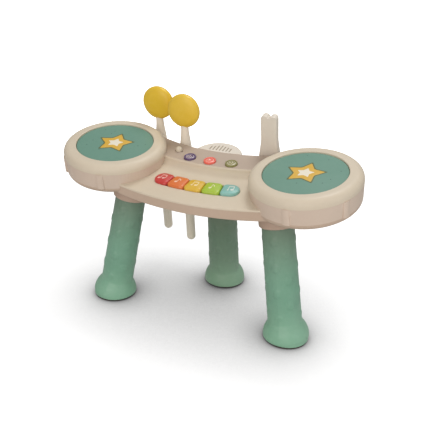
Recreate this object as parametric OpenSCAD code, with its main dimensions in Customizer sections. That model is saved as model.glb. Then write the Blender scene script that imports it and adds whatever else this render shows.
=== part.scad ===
// Musical activity table for toddlers: two drums, a crescent keyboard console, two lift-out drumsticks
// and a microphone post on three splayed legs. Millimetres, +Z up, the player stands at -Y.
// The origin is on the floor, in the mirror plane, in the middle between the front and the rear.

/* [Deck] */
// Height of the drum heads above the floor, in the mirror plane
deck_h = 258; // [240:1:290]
// Place of the line that joins the two drum heads, from the table's middle
deck_y = -27.6; // [-32:0.1:-24]
// Slope of the whole deck towards the player, degrees
deck_tilt = 11.5; // [9:0.5:13]
// Distance from the mirror plane to each drum's axis
drum_x = 154; // [150:1:160]
// Lean of each drum towards the middle, degrees
drum_cant = 4; // [2:0.5:5]

/* [Drums] */
// Outer radius of a drum at its shoulder
drum_r = 80.5; // [79:0.5:83]
// Depth of a drum from its head to its underside
drum_depth = 46; // [44:1:50]
// Radius of the struck pad
pad_r = 60; // [56:1:62]
// Height of the rim's crown over the pad
rim_crown = 2; // [1:0.5:3]
// Radius of the rim's big outer round
rim_round = 11; // [9:0.5:12]
// Radius of the round at the drum's foot
base_round = 10.5; // [9:0.5:12]
// Inward draft of the drum's wall over its height
drum_draft = 1.5; // [1:0.5:2]
// Travel of a pad when it is struck
pad_travel = 1.5; // [1:0.1:2]
// Width of a lug on the drum's wall
lug_w = 10.5; // [9:0.5:12]
// How far a lug stands proud of the wall
lug_proud = 1.4; // [1:0.2:2]

/* [Console] */
// Distance of the console's front edge in front of the drum line
front_y = 82; // [80:1:84]
// Radius of the console's curved front edge
front_r = 400; // [380:1:420]
// Depth of the key floor, from the front edge back to the panel
floor_d = 88.5; // [87:0.5:90]
// Depth of the button panel from front to back
panel_d = 43.5; // [42:0.5:45]
// Depth of the key floor below the drum heads
floor_drop = 31; // [30:0.5:32]
// Depth of the button panel below the drum heads
panel_drop = 18; // [17:0.5:19]
// Depth of the console's underside below the drum heads
console_depth = 50; // [49:0.5:52]
// Wall of the moulded housings
wall = 2.5; // [2:0.1:3]
// Radius of the concave ramp behind the keys
ramp_r = 12; // [11:0.5:12.5]

/* [Keys and buttons] */
// Spacing of the keys along their arc
key_pitch = 27.3; // [26.5:0.1:28]
// Depth of a key from front to back
key_d = 27; // [25:0.5:29]
// Gap between two keys
key_gap = 0.8; // [0.6:0.1:1.2]
// Distance of the keys' middle behind the console's front edge
key_setback = 45.5; // [44:0.5:47]
// Height of a key over the key floor
key_proud = 5; // [4:0.5:6]
// Travel of a key
key_travel = 2.5; // [2:0.1:2.8]
// Radius of a round button
button_r = 9.5; // [8.5:0.1:10]
// Spacing of the three buttons along their arc
button_pitch = 34.5; // [32:0.5:36]
// Distance of the buttons' middle behind the panel's front edge
button_setback = 12; // [11.5:0.1:13]
// Height of a button over the panel
button_proud = 3; // [2:0.5:4]
// Travel of a button
button_travel = 1.5; // [1:0.1:1.5]
// Place of the volume thumb from the mirror plane
volume_x = -61; // [-66:1:-58]
// Travel of the volume thumb to each side of its middle notch
volume_travel = 4; // [3:0.5:4]

/* [Speaker lobe] */
// Radius of the round lobe behind the panel
lobe_r = 40; // [39:0.5:42]
// Place of the lobe's centre behind the drum line
lobe_y = 44; // [43:0.5:46]
// Width of a slot in the speaker cover
slot_w = 2.4; // [2:0.2:3]
// Radius of the speaker's frame
speaker_r = 18; // [16:0.5:18.5]

/* [Sticks and post] */
// Place of the outer stick along the crescent, degrees from the mirror plane
outer_stick_angle = 29.3; // [28:0.1:30]
// Distance of the outer stick's axis behind the console's rear wall
outer_stick_back = 11.2; // [10.5:0.1:13]
// Place of the inner stick along the crescent, degrees from the mirror plane
inner_stick_angle = 16.1; // [15:0.1:17]
// Distance of the inner stick's axis behind the console's rear wall
inner_stick_back = 15.8; // [14:0.1:18]
// Backward lean of a stick's axis against the deck's normal, degrees
stick_lean = 3.9; // [2:0.1:5]
// Radius of the stick's handle below its shoulder
handle_r = 7.8; // [7:0.1:8]
// Radius of the stick's shoulder, which rests on the holder
shoulder_r = 9.8; // [9.4:0.1:10.2]
// Radius of the stick's neck
neck_r = 6.4; // [6:0.1:6.8]
// Length of the handle below the holder
handle_len = 173; // [150:1:175]
// Height of the head's centre above the holder
head_height = 70.5; // [66:0.5:82]
// Diameter of the stick's flat round head
head_d = 55; // [50:0.5:55.5]
// Thickness of the stick's head
head_t = 20; // [18:0.5:22]
// Place of the microphone post along the crescent, degrees from the mirror plane
post_angle = 17.5; // [16.5:0.1:18.5]
// Height of the post above its socket
post_h = 82; // [74:1:90]
// Width of the post below its fork
post_w = 25.5; // [22:0.5:27]
// Depth of the post from front to back
post_d = 13.5; // [12:0.5:18]

/* [Legs] */
// Foot of the right leg on the floor
foot_front = [153, -50.6];
// Place of the right leg's axis at the height leg_ref
top_front = [119, -34.6];
// Foot of the rear leg on the floor
foot_rear = [0, 71.4];
// Place of the rear leg's axis at the height leg_ref
top_rear = [0, 39.9];
// Height at which the two upper places are given
leg_ref = 200; // [190:5:210]
// Radius of a leg at its top
leg_r = 22.8; // [21.4:0.2:24]
// Radius of a leg above its foot
shank_r = 26; // [25:0.2:27]
// Largest radius of the bell foot
foot_r = 35.2; // [33:0.2:37]
// Wall of a blow-moulded leg
leg_wall = 3; // [2.5:0.1:3.5]
// Thickness of a rubber foot pad
foot_pad_t = 3; // [2:0.5:4]

/* [Hidden] */
$fn = 96;
s_left = -1;
s_right = 1;
arc_y = front_r - front_y;      // centre of the crescent's arcs, behind the drum line
panel_front_r = front_r - floor_d;
rear_r = panel_front_r - panel_d;
key_r = front_r - key_setback;
button_arc_r = panel_front_r - button_setback;
fit = 0.4;                      // gap round a moving cap in its opening
far = 300;                      // half-size of a cutting block
rim_seam = 11;                  // depth of the seam under the rim ring
base_seam = drum_depth - base_round;
lip_t = 2.2;                    // depth of the rim's inner lip
flange_w = 3.2;                 // how far a pad's flange reaches under the lip
flange_t = 2.2;
drum_low_r = drum_r - drum_draft;
under_clear = 3;                // kept free round the flat underside, for the leg's socket
pad_boss_r = 6;
pad_boss_h = 3;
pad_skin = 3;
switch_gap = 0.4;               // left under a pressed button, key or pad
board_t = 1.6;
console_top_t = 2.5;            // skin of the console's top
floor_z = -floor_drop;
panel_z = -panel_drop;
under_z = -console_depth;
floor_in_z = under_z + wall;
panel_t = 2.5;
panel_under_z = panel_z - panel_t;
skirt_r = front_r - 0.6;
skirt_round = 2.5;              // round along the skirt's lower edge
key_step = key_pitch / key_r * 180 / PI;
key_w = key_pitch - key_gap;
key_flange = 1.6;
key_flange_t = 2;
key_under_z = floor_z - console_top_t - 5.5;
membrane_t = 1.6;
button_step = button_pitch / button_arc_r * 180 / PI;
button_flange = 1.7;
cap_stem = 3.6;                 // from the panel's underside to the end of a button's stem
volume_back = 11;               // the volume thumb's slot, behind the arc through the buttons
switch_h = 1.4;
switch_w = 6;
switch_top_z = panel_under_z - cap_stem - button_travel - switch_gap;
board_top_z = switch_top_z - switch_h;
board_back = 17.5;              // the board's edges, from the arc through the buttons
board_front = 6.5;
board_angle = 14.6;
board_pillars = [-13, -4, 3.6]; // places of the board's pillars along the crescent, degrees
bracket_t = 8;                  // the two plates on the rear wall
post_seat = 4;                  // height of the post's seat over its plate
post_z = under_z + bracket_t + post_seat;
post_flare = 6;                 // how far the post's foot widens to each side
post_foot_w = post_w + 2 * post_flare;
post_round = 5;
post_edge = 6;                  // rim of the plate round the post's foot
post_clear = 2.5;               // left between the post and the console's rear wall
post_back = post_clear + post_round + (post_d / 2 - post_round) * cos(post_angle)
    + (post_foot_w / 2 - post_round) * sin(post_angle);
ring_r = 12.2;
ring_h = 14;
ring_proud = 1.5;               // how far a holder ring stands over its plate
stick_z = under_z + bracket_t + ring_proud;
head_round = 8;
cell_r = 5.2;
cell_len = 44.5;
cell_pitch = 10.9;
cell_z = floor_in_z + cell_r + 0.3;
battery_in = [cell_len + 6, 3 * cell_pitch];
battery_wall = 1.5;
battery_clear = 1.4;            // the rear wall curves away from the box's rear edge at the mirror plane
battery_at = [51, arc_y - rear_r - wall + battery_clear - battery_wall - battery_in[1] / 2];
door_t = 2;
door_edge = 3;
collar_wall = 5;
collar_flare = 1.5;              // how far a socket widens towards the housing above it
pad_inset = 3.2;                // the rubber pad stays inside the foot's edge
socket_drop = 79;               // the sockets' lower edge, below the drum heads
colours = ["#c8463f", "#e17d41", "#d7aa3c", "#a5c33c", "#82beb4"];
caps = ["#5a466b", "#eb6e5a", "#8c8755"];
cream = "#d7cbb7";
taupe = "#b4a293";
sage = "#6fa085";

// The console's ends point from the crescent's centre at the drums' axes
end_angle = atan(drum_x / arc_y);
corner_angle = 2.5;             // solid stretch of the rear wall's corner, which seats on the drum

// ---- helpers -------------------------------------------------------------------------------------

function arc(x, y, r, from, to, n = 6) =
    [for (i = [0:n]) let (a = from + (to - from) * i / n) [x + r * cos(a), y + r * sin(a)]];

function on_arc(r, a) = [r * sin(a), arc_y - r * cos(a)];

stick_out = on_arc(rear_r - outer_stick_back, -outer_stick_angle);
stick_in = on_arc(rear_r - inner_stick_back, -inner_stick_angle);
post_at = on_arc(rear_r - post_back, post_angle);

module deck() translate([0, deck_y, deck_h]) rotate([deck_tilt, 0, 0]) children();

module drum(s) deck() translate([s * drum_x, 0, 0]) rotate([0, -s * drum_cant, 0]) children();

module crescent() translate([0, arc_y, 0]) children();

module at_angle(r, a) translate(concat(on_arc(r, a), 0)) rotate([0, 0, a]) children();

// A flat ring between two radii round the crescent's centre
module ring(r_in, r_out, z0, z1) crescent() translate([0, 0, z0]) difference() {
    cylinder(r = r_out, h = z1 - z0);
    translate([0, 0, -1]) cylinder(r = r_in, h = z1 - z0 + 2);
}

// The sector of the crescent inside an angle to each side of the mirror plane
module sector(a) crescent() translate([0, 0, -far / 2]) linear_extrude(far)
    polygon([[0, 0], [-2 * front_r * sin(a), -2 * front_r * cos(a)],
             [2 * front_r * sin(a), -2 * front_r * cos(a)]]);

module rounded(w, d, r) union() {
    square([w - 2 * r, d], center = true);
    square([w, d - 2 * r], center = true);
    for (x = [-1, 1], y = [-1, 1]) translate([x * (w / 2 - r), y * (d / 2 - r)]) circle(r);
}

module box(w, d, z0, z1) translate([-w / 2, -d / 2, z0]) cube([w, d, z1 - z0]);

// The space above a plane of the deck, and above a drum's underside
module above(z) translate([-far, -far, z]) cube([2 * far, 2 * far, far]);

// ---- drums ---------------------------------------------------------------------------------------

drum_outline = concat([[0, rim_crown]],
    arc(drum_r - rim_round, rim_crown - rim_round, rim_round, 90, 0, 8),
    [[drum_r, -rim_seam]],
    arc(drum_low_r - base_round, -base_seam, base_round, 0, -90, 8),
    [[0, -drum_depth]]);

// The space that both drums fill, with the column under each flat underside
module drum_space() for (s = [s_left, s_right]) drum(s) {
    rotate_extrude() polygon(drum_outline);
    translate([0, 0, -drum_depth - 20]) cylinder(r = drum_low_r - base_round + under_clear, h = 22);
}

module drum_rim(s) color(cream) drum(s) rotate_extrude() polygon(concat(
    arc(pad_r + fit + 1.2, rim_crown - 1.2, 1.2, 180, 90, 4),
    arc(drum_r - rim_round, rim_crown - rim_round, rim_round, 90, 0, 8),
    [[drum_r, -rim_seam], [drum_r - wall, -rim_seam]],
    arc(drum_r - rim_round, rim_crown - rim_round, rim_round - wall, 0, 90, 8),
    [[pad_r + fit + flange_w + 1, -lip_t], [pad_r + fit, -lip_t]]));

module drum_shell(s) color(cream) drum(s) {
    rotate_extrude() polygon([[drum_r, -rim_seam], [drum_low_r, -base_seam],
        [drum_low_r - wall, -base_seam], [drum_r - wall, -rim_seam]]);
    for (k = [0:3]) rotate([0, 0, lug_first[s > 0 ? 1 : 0] + s * k * lug_step]) lug();
}

lug_first = [-76.5, -93];       // the lug nearest the player on the left and right drum, degrees from its +X
lug_step = 60;

// A tension lug: a shallow block on the wall with rounded flanks
module lug() intersection() {
    translate([drum_low_r - wall / 2, -lug_w / 2, -base_seam])
        cube([drum_draft + wall / 2 + lug_proud, lug_w, base_seam - rim_seam]);
    translate([drum_r + lug_proud - lug_w, 0, -base_seam - 1]) cylinder(r = lug_w, h = base_seam);
}

module drum_base(s) color(cream) drum(s) {
    rotate_extrude() polygon(concat([[drum_low_r - wall, -base_seam]],
        arc(drum_low_r - base_round, -base_seam, base_round, 0, -90, 8),
        [[0, -drum_depth], [0, -drum_depth + wall]],
        arc(drum_low_r - base_round, -base_seam, base_round - wall, -90, 0, 8)));
    translate([0, 0, -drum_depth + wall]) difference() {
        cylinder(r = pad_boss_r + 4, h = pad_pillar);
        translate([0, 0, 2]) cylinder(r = pad_boss_r + 2, h = pad_pillar);
    }
}

pad_board_z = -pad_skin - pad_boss_h - pad_travel - switch_gap - 2.4;
pad_pillar = drum_depth - wall + pad_board_z - board_t;

module drum_pad(s) color(sage) drum(s) rotate_extrude() polygon(concat([[0, 0]],
    arc(pad_r - 1.2, -1.2, 1.2, 90, 0, 4),
    [[pad_r, -lip_t], [pad_r + flange_w, -lip_t], [pad_r + flange_w, -lip_t - flange_t],
     [pad_r - 5, -lip_t - flange_t], [pad_r - 8, -pad_skin], [pad_boss_r, -pad_skin],
     [pad_boss_r, -pad_skin - pad_boss_h], [0, -pad_skin - pad_boss_h]]));

// The small board on the base's pillar, with the silicone dome that returns the pad
module pad_switch(s) color("#3f6b4c") drum(s) translate([0, 0, pad_board_z]) {
    translate([0, 0, -board_t]) cylinder(r = pad_boss_r + 5, h = board_t);
    cylinder(r1 = 5, r2 = 4, h = 2.4);
}

// ---- console housings ----------------------------------------------------------------------------

module console_top() color(cream) difference() {
    deck() intersection() {
        crescent() rotate_extrude($fn = 360) polygon(concat(
            [[front_r, floor_z - console_top_t]],
            arc(front_r - 2, floor_z - 2, 2, 0, 90, 4),
            arc(ramp_at, floor_z + ramp_r, ramp_r, 270, 180 + ramp_top, 8),
            [[panel_front_r, panel_z], [panel_front_r, panel_under_z],
             [panel_front_r - ledge, panel_under_z], [panel_front_r - ledge, panel_under_z - console_top_t]],
            arc(ramp_at, floor_z + ramp_r, ramp_r + console_top_t, 206, 270, 6)));
        sector(end_angle);
    }
    drum_space();
    deck() {
        key_slot();
        for (i = [-1:1]) at_angle(button_arc_r, i * button_step) translate([0, 0, panel_under_z - ramp_r])
            cylinder(r = button_r + button_flange + fit, h = ramp_r);
    }
}

ramp_at = panel_front_r + 1.5 + ramp_r;     // radius where the key floor turns up into the ramp
ramp_top = asin((floor_drop - ramp_r - panel_drop) / ramp_r);
ledge = 4.5;

module key_slot() translate([0, 0, floor_z - 2 * console_top_t]) linear_extrude(4 * console_top_t)
    polygon(concat(
        [for (p = end_round(fit)) turned(key_r, 2 * key_step, p)],
        crescent_arc(key_r - key_d / 2 - fit, 2 * key_step, -2 * key_step, 16),
        [for (k = [0:len(end_round(fit)) - 1]) let (p = end_round(fit)[len(end_round(fit)) - 1 - k])
            turned(key_r, -2 * key_step, [-p[0], p[1]])],
        crescent_arc(key_r + key_d / 2 + fit, -2 * key_step, 2 * key_step, 16)));

// The half-round end of the strip of keys, from front to back
function end_round(grow) = concat(
    arc(key_w / 2 - end_r, end_r - key_d / 2, end_r + grow, -90, 0, 6),
    arc(key_w / 2 - end_r, key_d / 2 - end_r, end_r + grow, 0, 90, 6));

end_r = 13;

function crescent_arc(r, from, to, n) = [for (k = [1:n - 1]) on_arc(r, from + (to - from) * k / n)];

// A point of a key's own plan, placed on the crescent
function turned(r, a, p) = on_arc(r, a) + [p[0] * cos(a) - p[1] * sin(a), p[0] * sin(a) + p[1] * cos(a)];

module console_base() color(taupe) {
    difference() {
        deck() {
            intersection() {
                crescent() rotate_extrude($fn = 360) polygon(concat(
                    [[rear_r, panel_under_z]], arc(rear_r + 2, under_z + 2, 2, 180, 270, 3),
                    arc(skirt_r - skirt_round, under_z + skirt_round, skirt_round, 270, 360, 6),
                    [[skirt_r, floor_z - console_top_t], [skirt_r - wall, floor_z - console_top_t],
                     [skirt_r - wall, floor_in_z], [rear_r + wall, floor_in_z],
                     [rear_r + wall, panel_under_z]]));
                sector(end_angle);
            }
            intersection() {
                ring(rear_r, rear_r + 3 * wall, under_z + 2, panel_under_z);
                difference() {
                    sector(end_angle);
                    sector(end_angle - corner_angle);
                }
            }
            lobe_tub();
        }
        deck() {
            translate([0, lobe_y, floor_in_z]) cylinder(r = lobe_r - wall, h = far);
            intersection() {
                ring(rear_r + wall, key_r, floor_in_z, 0);
                translate([0, lobe_y, floor_in_z]) cylinder(r = lobe_r + 1, h = far);
            }
            translate([battery_at[0], battery_at[1], 0]) {
                box(battery_in[0], battery_in[1], under_z - 1, floor_in_z + 1);
                box(door_size[0], door_size[1], under_z - 1, under_z + door_t);
            }
        }
        drum_space();
    }
    deck() for (a = board_pillars) at_angle(button_arc_r + (board_front - board_back) / 2, a)
        translate([0, 0, floor_in_z - 1]) cylinder(r = 3, h = board_top_z - board_t - floor_in_z + 1);
}

door_size = [battery_in[0] + 2 * door_edge, battery_in[1] + 2 * door_edge];

// The tub of the speaker lobe, with its wall and floor
module lobe_tub() translate([0, lobe_y, 0]) rotate_extrude() polygon(concat(
    [[0, under_z]], arc(lobe_r - 4, under_z + 4, 4, 270, 360, 6),
    [[lobe_r, lobe_seam_z], [lobe_r - wall, lobe_seam_z], [lobe_r - wall, floor_in_z], [0, floor_in_z]]));

lobe_seam_z = panel_z - 6;
cover_round = 5;
cover_z = panel_z + 0.5;        // the cover stands a little over the panel
slot_len = 18;                  // longest slot, in the middle
slot_pitch = 2.3 * slot_w;
slot_back = 19;                 // the slots' middle, behind the lobe's centre
slot_y = lobe_y + slot_back;

module speaker_cover() color(cream) deck() difference() {
    intersection() {
        translate([0, lobe_y, 0]) rotate_extrude() polygon(concat(
            [[0, cover_z]], arc(lobe_r - cover_round, cover_z - cover_round, cover_round, 90, 0, 6),
            [[lobe_r, lobe_seam_z], [lobe_r - wall, lobe_seam_z]],
            arc(lobe_r - cover_round, panel_under_z - cover_round + wall, cover_round - wall, 0, 90, 6),
            [[0, panel_under_z]]));
        crescent() translate([0, 0, -far / 2]) cylinder(r = rear_r - 0.1, h = far, $fn = 360);
    }
    for (i = [-3:3]) translate([i * slot_pitch, slot_y - abs(i), panel_z - far / 2])
        linear_extrude(far) rounded(slot_w, slot_len - 2 * abs(i), slot_w / 2 - 0.01);
}

module control_panel() color(taupe) difference() {
    deck() intersection() {
        ring(rear_r, panel_front_r, panel_under_z, panel_z);
        sector(end_angle);
    }
    drum_space();
    deck() {
        for (i = [-1:1]) at_angle(button_arc_r, i * button_step)
            translate([0, 0, panel_under_z - 1]) cylinder(r = button_r + fit, h = panel_t + 2);
        volume_place() box(2 * volume_travel + 4 + 2 * fit, 4 + 2 * fit, -panel_t - 1, 1);
    }
}

module volume_place() {
    r = button_arc_r - volume_back;
    translate([volume_x, arc_y - sqrt(pow(r, 2) - pow(volume_x, 2)), panel_z]) children();
}

// ---- keys, buttons and electronics ---------------------------------------------------------------

module key(i) color(colours[i + 2]) deck() {
    at_angle(key_r, i * key_step) {
        translate([0, 0, key_under_z]) linear_extrude(floor_z + key_proud - key_under_z) key_outline(i);
        for (side = [-1, 1]) translate([0, side * (key_d / 2 + key_flange / 2 - 1), 0])
            box(key_w - 8, key_flange + 2, floor_z - console_top_t - key_flange_t, floor_z - console_top_t);
    }
}

// The plan of a key: sides along the crescent's radii, with end keys round at their outer side
module key_outline(i) {
    flare = key_d / 2 * tan(key_step / 2);
    right = i == 2 ? end_r : 2.5;
    left = i == -2 ? end_r : 2.5;
    front = key_w / 2 + flare;
    rear = key_w / 2 - flare;
    polygon(concat(
        arc((i == 2 ? key_w / 2 : front) - right, right - key_d / 2, right, -90, 0, 6),
        arc((i == 2 ? key_w / 2 : rear) - right, key_d / 2 - right, right, 0, 90, 6),
        arc(left - (i == -2 ? key_w / 2 : rear), key_d / 2 - left, left, 90, 180, 6),
        arc(left - (i == -2 ? key_w / 2 : front), left - key_d / 2, left, 180, 270, 6)));
}

module key_membrane() color("#8f9a94") deck() {
    intersection() {
        ring(key_r - key_d / 2 - 3, key_r + key_d / 2 + 3, floor_in_z, floor_in_z + membrane_t);
        sector(2.6 * key_step);
    }
    for (i = [-2:2]) at_angle(key_r, i * key_step) translate([0, 0, floor_in_z + 1])
        cylinder(r1 = 6, r2 = 4.5, h = key_under_z - key_travel - switch_gap - floor_in_z - 1);
}

module button(i) color(caps[i + 1]) deck() at_angle(button_arc_r, i * button_step) translate([0, 0, panel_z])
    rotate_extrude() polygon(concat([[0, button_proud]],
        arc(button_r - 1.2, button_proud - 1.2, 1.2, 90, 0, 4),
        [[button_r, -panel_t], [button_r + button_flange, -panel_t],
         [button_r + button_flange, -panel_t - 1.8], [3, -panel_t - 1.8],
         [3, -panel_t - cap_stem], [0, -panel_t - cap_stem]]));

thumb_h = 7;
thumb_r = 5;
thumb_round = 3.5;
thumb_gap = 0.2;                // left between the thumb and the panel it slides on

module volume_thumb() color(cream) deck() volume_place() {
    rotate_extrude() polygon(concat([[0, thumb_h], [thumb_r - thumb_round - 0.5, thumb_h]],
        arc(thumb_r - thumb_round, thumb_h - thumb_round, thumb_round, 80, 0, 5),
        [[thumb_r, thumb_gap], [0, thumb_gap]]));
    box(4, 4, -panel_t - 1.5, 1);
    box(2 * volume_travel + 6, 8, -panel_t - 1.5, -panel_t);
}

module circuit_board() color("#3f6b4c") deck() {
    intersection() {
        ring(button_arc_r - board_back, button_arc_r + board_front, board_top_z - board_t, board_top_z);
        sector(board_angle);
    }
    for (i = [-1:1]) at_angle(button_arc_r, i * button_step)
        box(switch_w, switch_w, board_top_z - 1, switch_top_z);
}

module speaker() color("#4a4a4c") deck() translate([0, speaker_y, panel_under_z]) rotate_extrude()
    polygon([[0, -cone_d], [cone_r, -cone_d], [speaker_r - frame_w, -0.8], [speaker_r - frame_w + 0.6, 0],
             [speaker_r, 0], [speaker_r, -frame_t], [speaker_r - frame_w, -frame_t], [magnet_r, -basket_d],
             [magnet_r, -basket_d - magnet_t], [0, -basket_d - magnet_t]]);

speaker_y = lobe_y + lobe_r - wall - speaker_r - 6;
cone_r = 7;
cone_d = 6;
frame_w = 3;
frame_t = 1.6;
basket_d = 9;
magnet_r = 11;
magnet_t = 6;

module battery_box() color("#55544f") deck() translate([battery_at[0], battery_at[1], 0]) difference() {
    box(battery_in[0] + 2 * battery_wall, battery_in[1] + 2 * battery_wall, floor_in_z,
        cell_z + cell_r + 0.3 + battery_wall);
    box(battery_in[0], battery_in[1], floor_in_z - 1, cell_z + cell_r + 0.3);
}

module battery_cells() color("#8b8d90") deck() translate([battery_at[0], battery_at[1], cell_z])
    for (j = [-1:1]) translate([0, j * cell_pitch, 0]) rotate([0, 90, 0])
        cylinder(r = cell_r, h = cell_len, center = true);

module battery_door() color(taupe) deck() translate([battery_at[0], battery_at[1], 0])
    box(door_size[0] - 0.6, door_size[1] - 0.6, under_z, under_z + door_t);

// ---- sticks and post -----------------------------------------------------------------------------

module stick(at) deck() translate([at[0], at[1], stick_z]) rotate([-stick_lean, 0, 0]) children();

module stick_handle(at) color(cream) stick(at) rotate_extrude() polygon(concat(
    arc(0, -handle_len + handle_r, handle_r, -90, 0, 6),
    [[handle_r + 0.3, -1], [handle_r + 0.3, 0], [shoulder_r, 0]],
    arc(shoulder_r - 1, 1, 1, 0, 45, 2),
    [[shoulder_r - 0.2, taper_from], [neck_r + 1, taper_to - 8], [neck_r, taper_to],
     [neck_r, neck_top], [0, neck_top]]));

taper_from = 13;                // the handle narrows to its neck between these heights
taper_to = 41;
neck_in = 12;                   // how deep the neck sits in the head
neck_top = head_height - head_d / 2 + neck_in;

module stick_head(at) color("#d8b43c") stick(at) difference() {
    translate([0, 0, head_height]) rotate([90, 0, 0]) rotate_extrude() polygon(concat(
        [[0, head_t / 2]], arc(head_d / 2 - head_round, head_t / 2 - head_round, head_round, 90, 0, 8),
        arc(head_d / 2 - head_round, head_round - head_t / 2, head_round, 0, -90, 8), [[0, -head_t / 2]]));
    translate([0, 0, neck_top - head_d]) cylinder(r = neck_r, h = head_d);
}

// Two upright rings for the sticks on one plate that is fixed to the console's rear wall
module stick_holder() color(cream) difference() {
    union() {
        deck() translate([0, 0, under_z]) linear_extrude(bracket_t) {
            for (at = [stick_out, stick_in]) translate(at) circle(ring_r);
            stick_bar();
            translate(stick_in - [ring_r, plate_d]) square([plate_d, plate_d]);
        }
        for (at = [stick_out, stick_in]) stick(at) translate([0, 0, -ring_h])
            cylinder(r = ring_r - 0.4, h = ring_h);
    }
    for (at = [stick_out, stick_in]) stick(at) translate([0, 0, -2 * ring_h])
        cylinder(r = ring_bore, h = 3 * ring_h);
    deck() {
        crescent() translate([0, 0, -far]) difference() {
            cylinder(r = 2 * front_r, h = 2 * far, $fn = 360);
            cylinder(r = rear_r, h = 2 * far, $fn = 360);
        }
    }
    drum_space();
}

ring_bore = handle_r + 0.8;
bar_w = 14;
plate_d = 30;                   // reaches from the inner ring to the rear wall

module stick_bar() {
    run = stick_in - stick_out;
    translate(stick_out) rotate(atan2(run[1], run[0])) translate([0, -bar_w / 2]) square([norm(run), bar_w]);
}

// A plate on the console's rear wall that carries the post
module mic_socket() color(cream) difference() {
    deck() {
        translate([post_at[0], post_at[1], under_z]) linear_extrude(bracket_t) union() {
            rounded(post_foot_w + 2 * post_edge, post_d + 2 * post_edge, post_round);
            translate([-post_foot_w / 2, -post_d]) square([post_foot_w, post_d]);
        }
        translate([post_at[0], post_at[1], under_z + bracket_t]) linear_extrude(post_seat)
            rounded(post_foot_w + 2, post_d + 2, post_round);
    }
    deck() {
        crescent() translate([0, 0, -far]) difference() {
            cylinder(r = 2 * front_r, h = 2 * far, $fn = 360);
            cylinder(r = rear_r, h = 2 * far, $fn = 360);
        }
    }
    drum_space();
}

flare_r = 40;                   // radius of the concave flank above the post's foot
flare_z = 42;
flare_angle = 50;
notch_d = 3.6;                  // depth of the fork's notch
fork_r = 5.5;
fork_turn = 45;                 // where the fork's lobes turn down into the notch, degrees

// The post: its front view cut through its rounded plan, with a forked top
module mic_post() color(cream) deck() translate([post_at[0], post_at[1], post_z]) intersection() {
    rotate([90, 0, 0]) translate([0, 0, -post_d]) linear_extrude(2 * post_d) polygon(concat(
        [[-post_foot_w / 2, 0]],
        arc(-post_w / 2 - flare_r, flare_z, flare_r, -flare_angle, 0, 8),
        arc(-post_w / 2 + fork_r, post_h - fork_r, fork_r, 180, fork_turn, 6),
        [[0, post_h - notch_d]],
        arc(post_w / 2 - fork_r, post_h - fork_r, fork_r, 180 - fork_turn, 0, 6),
        arc(post_w / 2 + flare_r, flare_z, flare_r, 180, 180 + flare_angle, 8), [[post_foot_w / 2, 0]]));
    linear_extrude(post_h + 1) rounded(post_foot_w, post_d, post_round);
}

// ---- legs ----------------------------------------------------------------------------------------

// A frame at a foot, with its Z along the leg
module along(foot, top) {
    v = [top[0] - foot[0], top[1] - foot[1], leg_ref];
    translate(concat(foot, 0)) rotate([-asin(v[1] / norm(v)), atan2(v[0], v[2]), 0]) children();
}

// The profile of a bell-footed leg along its axis, made smaller all round by an inset
function leg_profile(inset) = concat([[0, -foot_in], [foot_r - 4 - inset, -foot_in]],
    arc(foot_r - toe_r, bell_z, toe_r - inset, -30, 0, 4),
    arc(foot_r - bell_r, bell_z, bell_r - inset, bell_end / 8, bell_end, 7),
    [[shank_r - inset, shank_z], [leg_r - inset, leg_len + inset], [0, leg_len + inset]]);

leg_len = deck_h;               // cut off where the housing above it begins
foot_in = 16;                   // the profile starts below the floor, where the tilted leg is cut flat
bell_z = 5.5;                   // height of the widest place
bell_r = 32.5;                  // radius of the bell's flank
toe_r = 10;                     // radius under the widest place
crease = 0.6;                   // the bell ends this far outside the shank
bell_end = acos(1 - (foot_r - shank_r - crease) / bell_r);
shank_z = bell_z + bell_r * sin(bell_end) + 3;

module leg(foot, top) color(sage) difference() {
    intersection() {
        along(foot, top) rotate_extrude() polygon(leg_profile(0));
        translate([-far, -far, foot_pad_t]) cube([2 * far, 2 * far, far]);
    }
    intersection() {
        along(foot, top) rotate_extrude() polygon(leg_profile(leg_wall));
        translate([-far, -far, foot_pad_t + leg_wall]) cube([2 * far, 2 * far, far]);
    }
    children();
}

// The ring that grips the top of a leg, up to the housing above it
module leg_socket(foot, top) color(taupe) difference() {
    along(foot, top) translate([0, 0, socket_z]) rotate_extrude() polygon(concat(
        [[leg_r - collar_wall, 0]], arc(socket_r - 2, 2, 2, -90, 0, 3),
        [[socket_r + collar_flare, leg_len - socket_z], [leg_r - collar_wall, leg_len - socket_z]]));
    along(foot, top) rotate_extrude() polygon(leg_profile(0));
    children();
}

socket_z = deck_h - socket_drop;
socket_r = leg_r + collar_wall;

module foot_pad(foot) color("#6b625a") translate(concat(foot, 0))
    cylinder(r = foot_r - pad_inset, h = foot_pad_t);

module drum_side(s) drum(s) above(-drum_depth);

module deck_side() deck() above(under_z);

function mirrored(p) = [-p[0], p[1]];

console_top();
console_base();
control_panel();
speaker_cover();
speaker();
circuit_board();
key_membrane();
battery_box();
battery_cells();
battery_door();
key(-2);  // key_1
key(-1);  // key_2
key(0);  // key_3
key(1);  // key_4
key(2);  // key_5
button(-1);  // button_1
button(0);  // button_2
button(1);  // button_3
volume_thumb();
drum_rim(s_left);  // left_drum_rim
drum_shell(s_left);  // left_drum_shell
drum_base(s_left);  // left_drum_base
drum_pad(s_left);  // left_drum_pad
pad_switch(s_left);  // left_pad_switch
drum_rim(s_right);  // right_drum_rim
drum_shell(s_right);  // right_drum_shell
drum_base(s_right);  // right_drum_base
drum_pad(s_right);  // right_drum_pad
pad_switch(s_right);  // right_pad_switch
stick_holder();
stick_handle(stick_out);  // outer_stick_handle
stick_head(stick_out);  // outer_stick_head
stick_handle(stick_in);  // inner_stick_handle
stick_head(stick_in);  // inner_stick_head
mic_socket();
mic_post();
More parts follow.
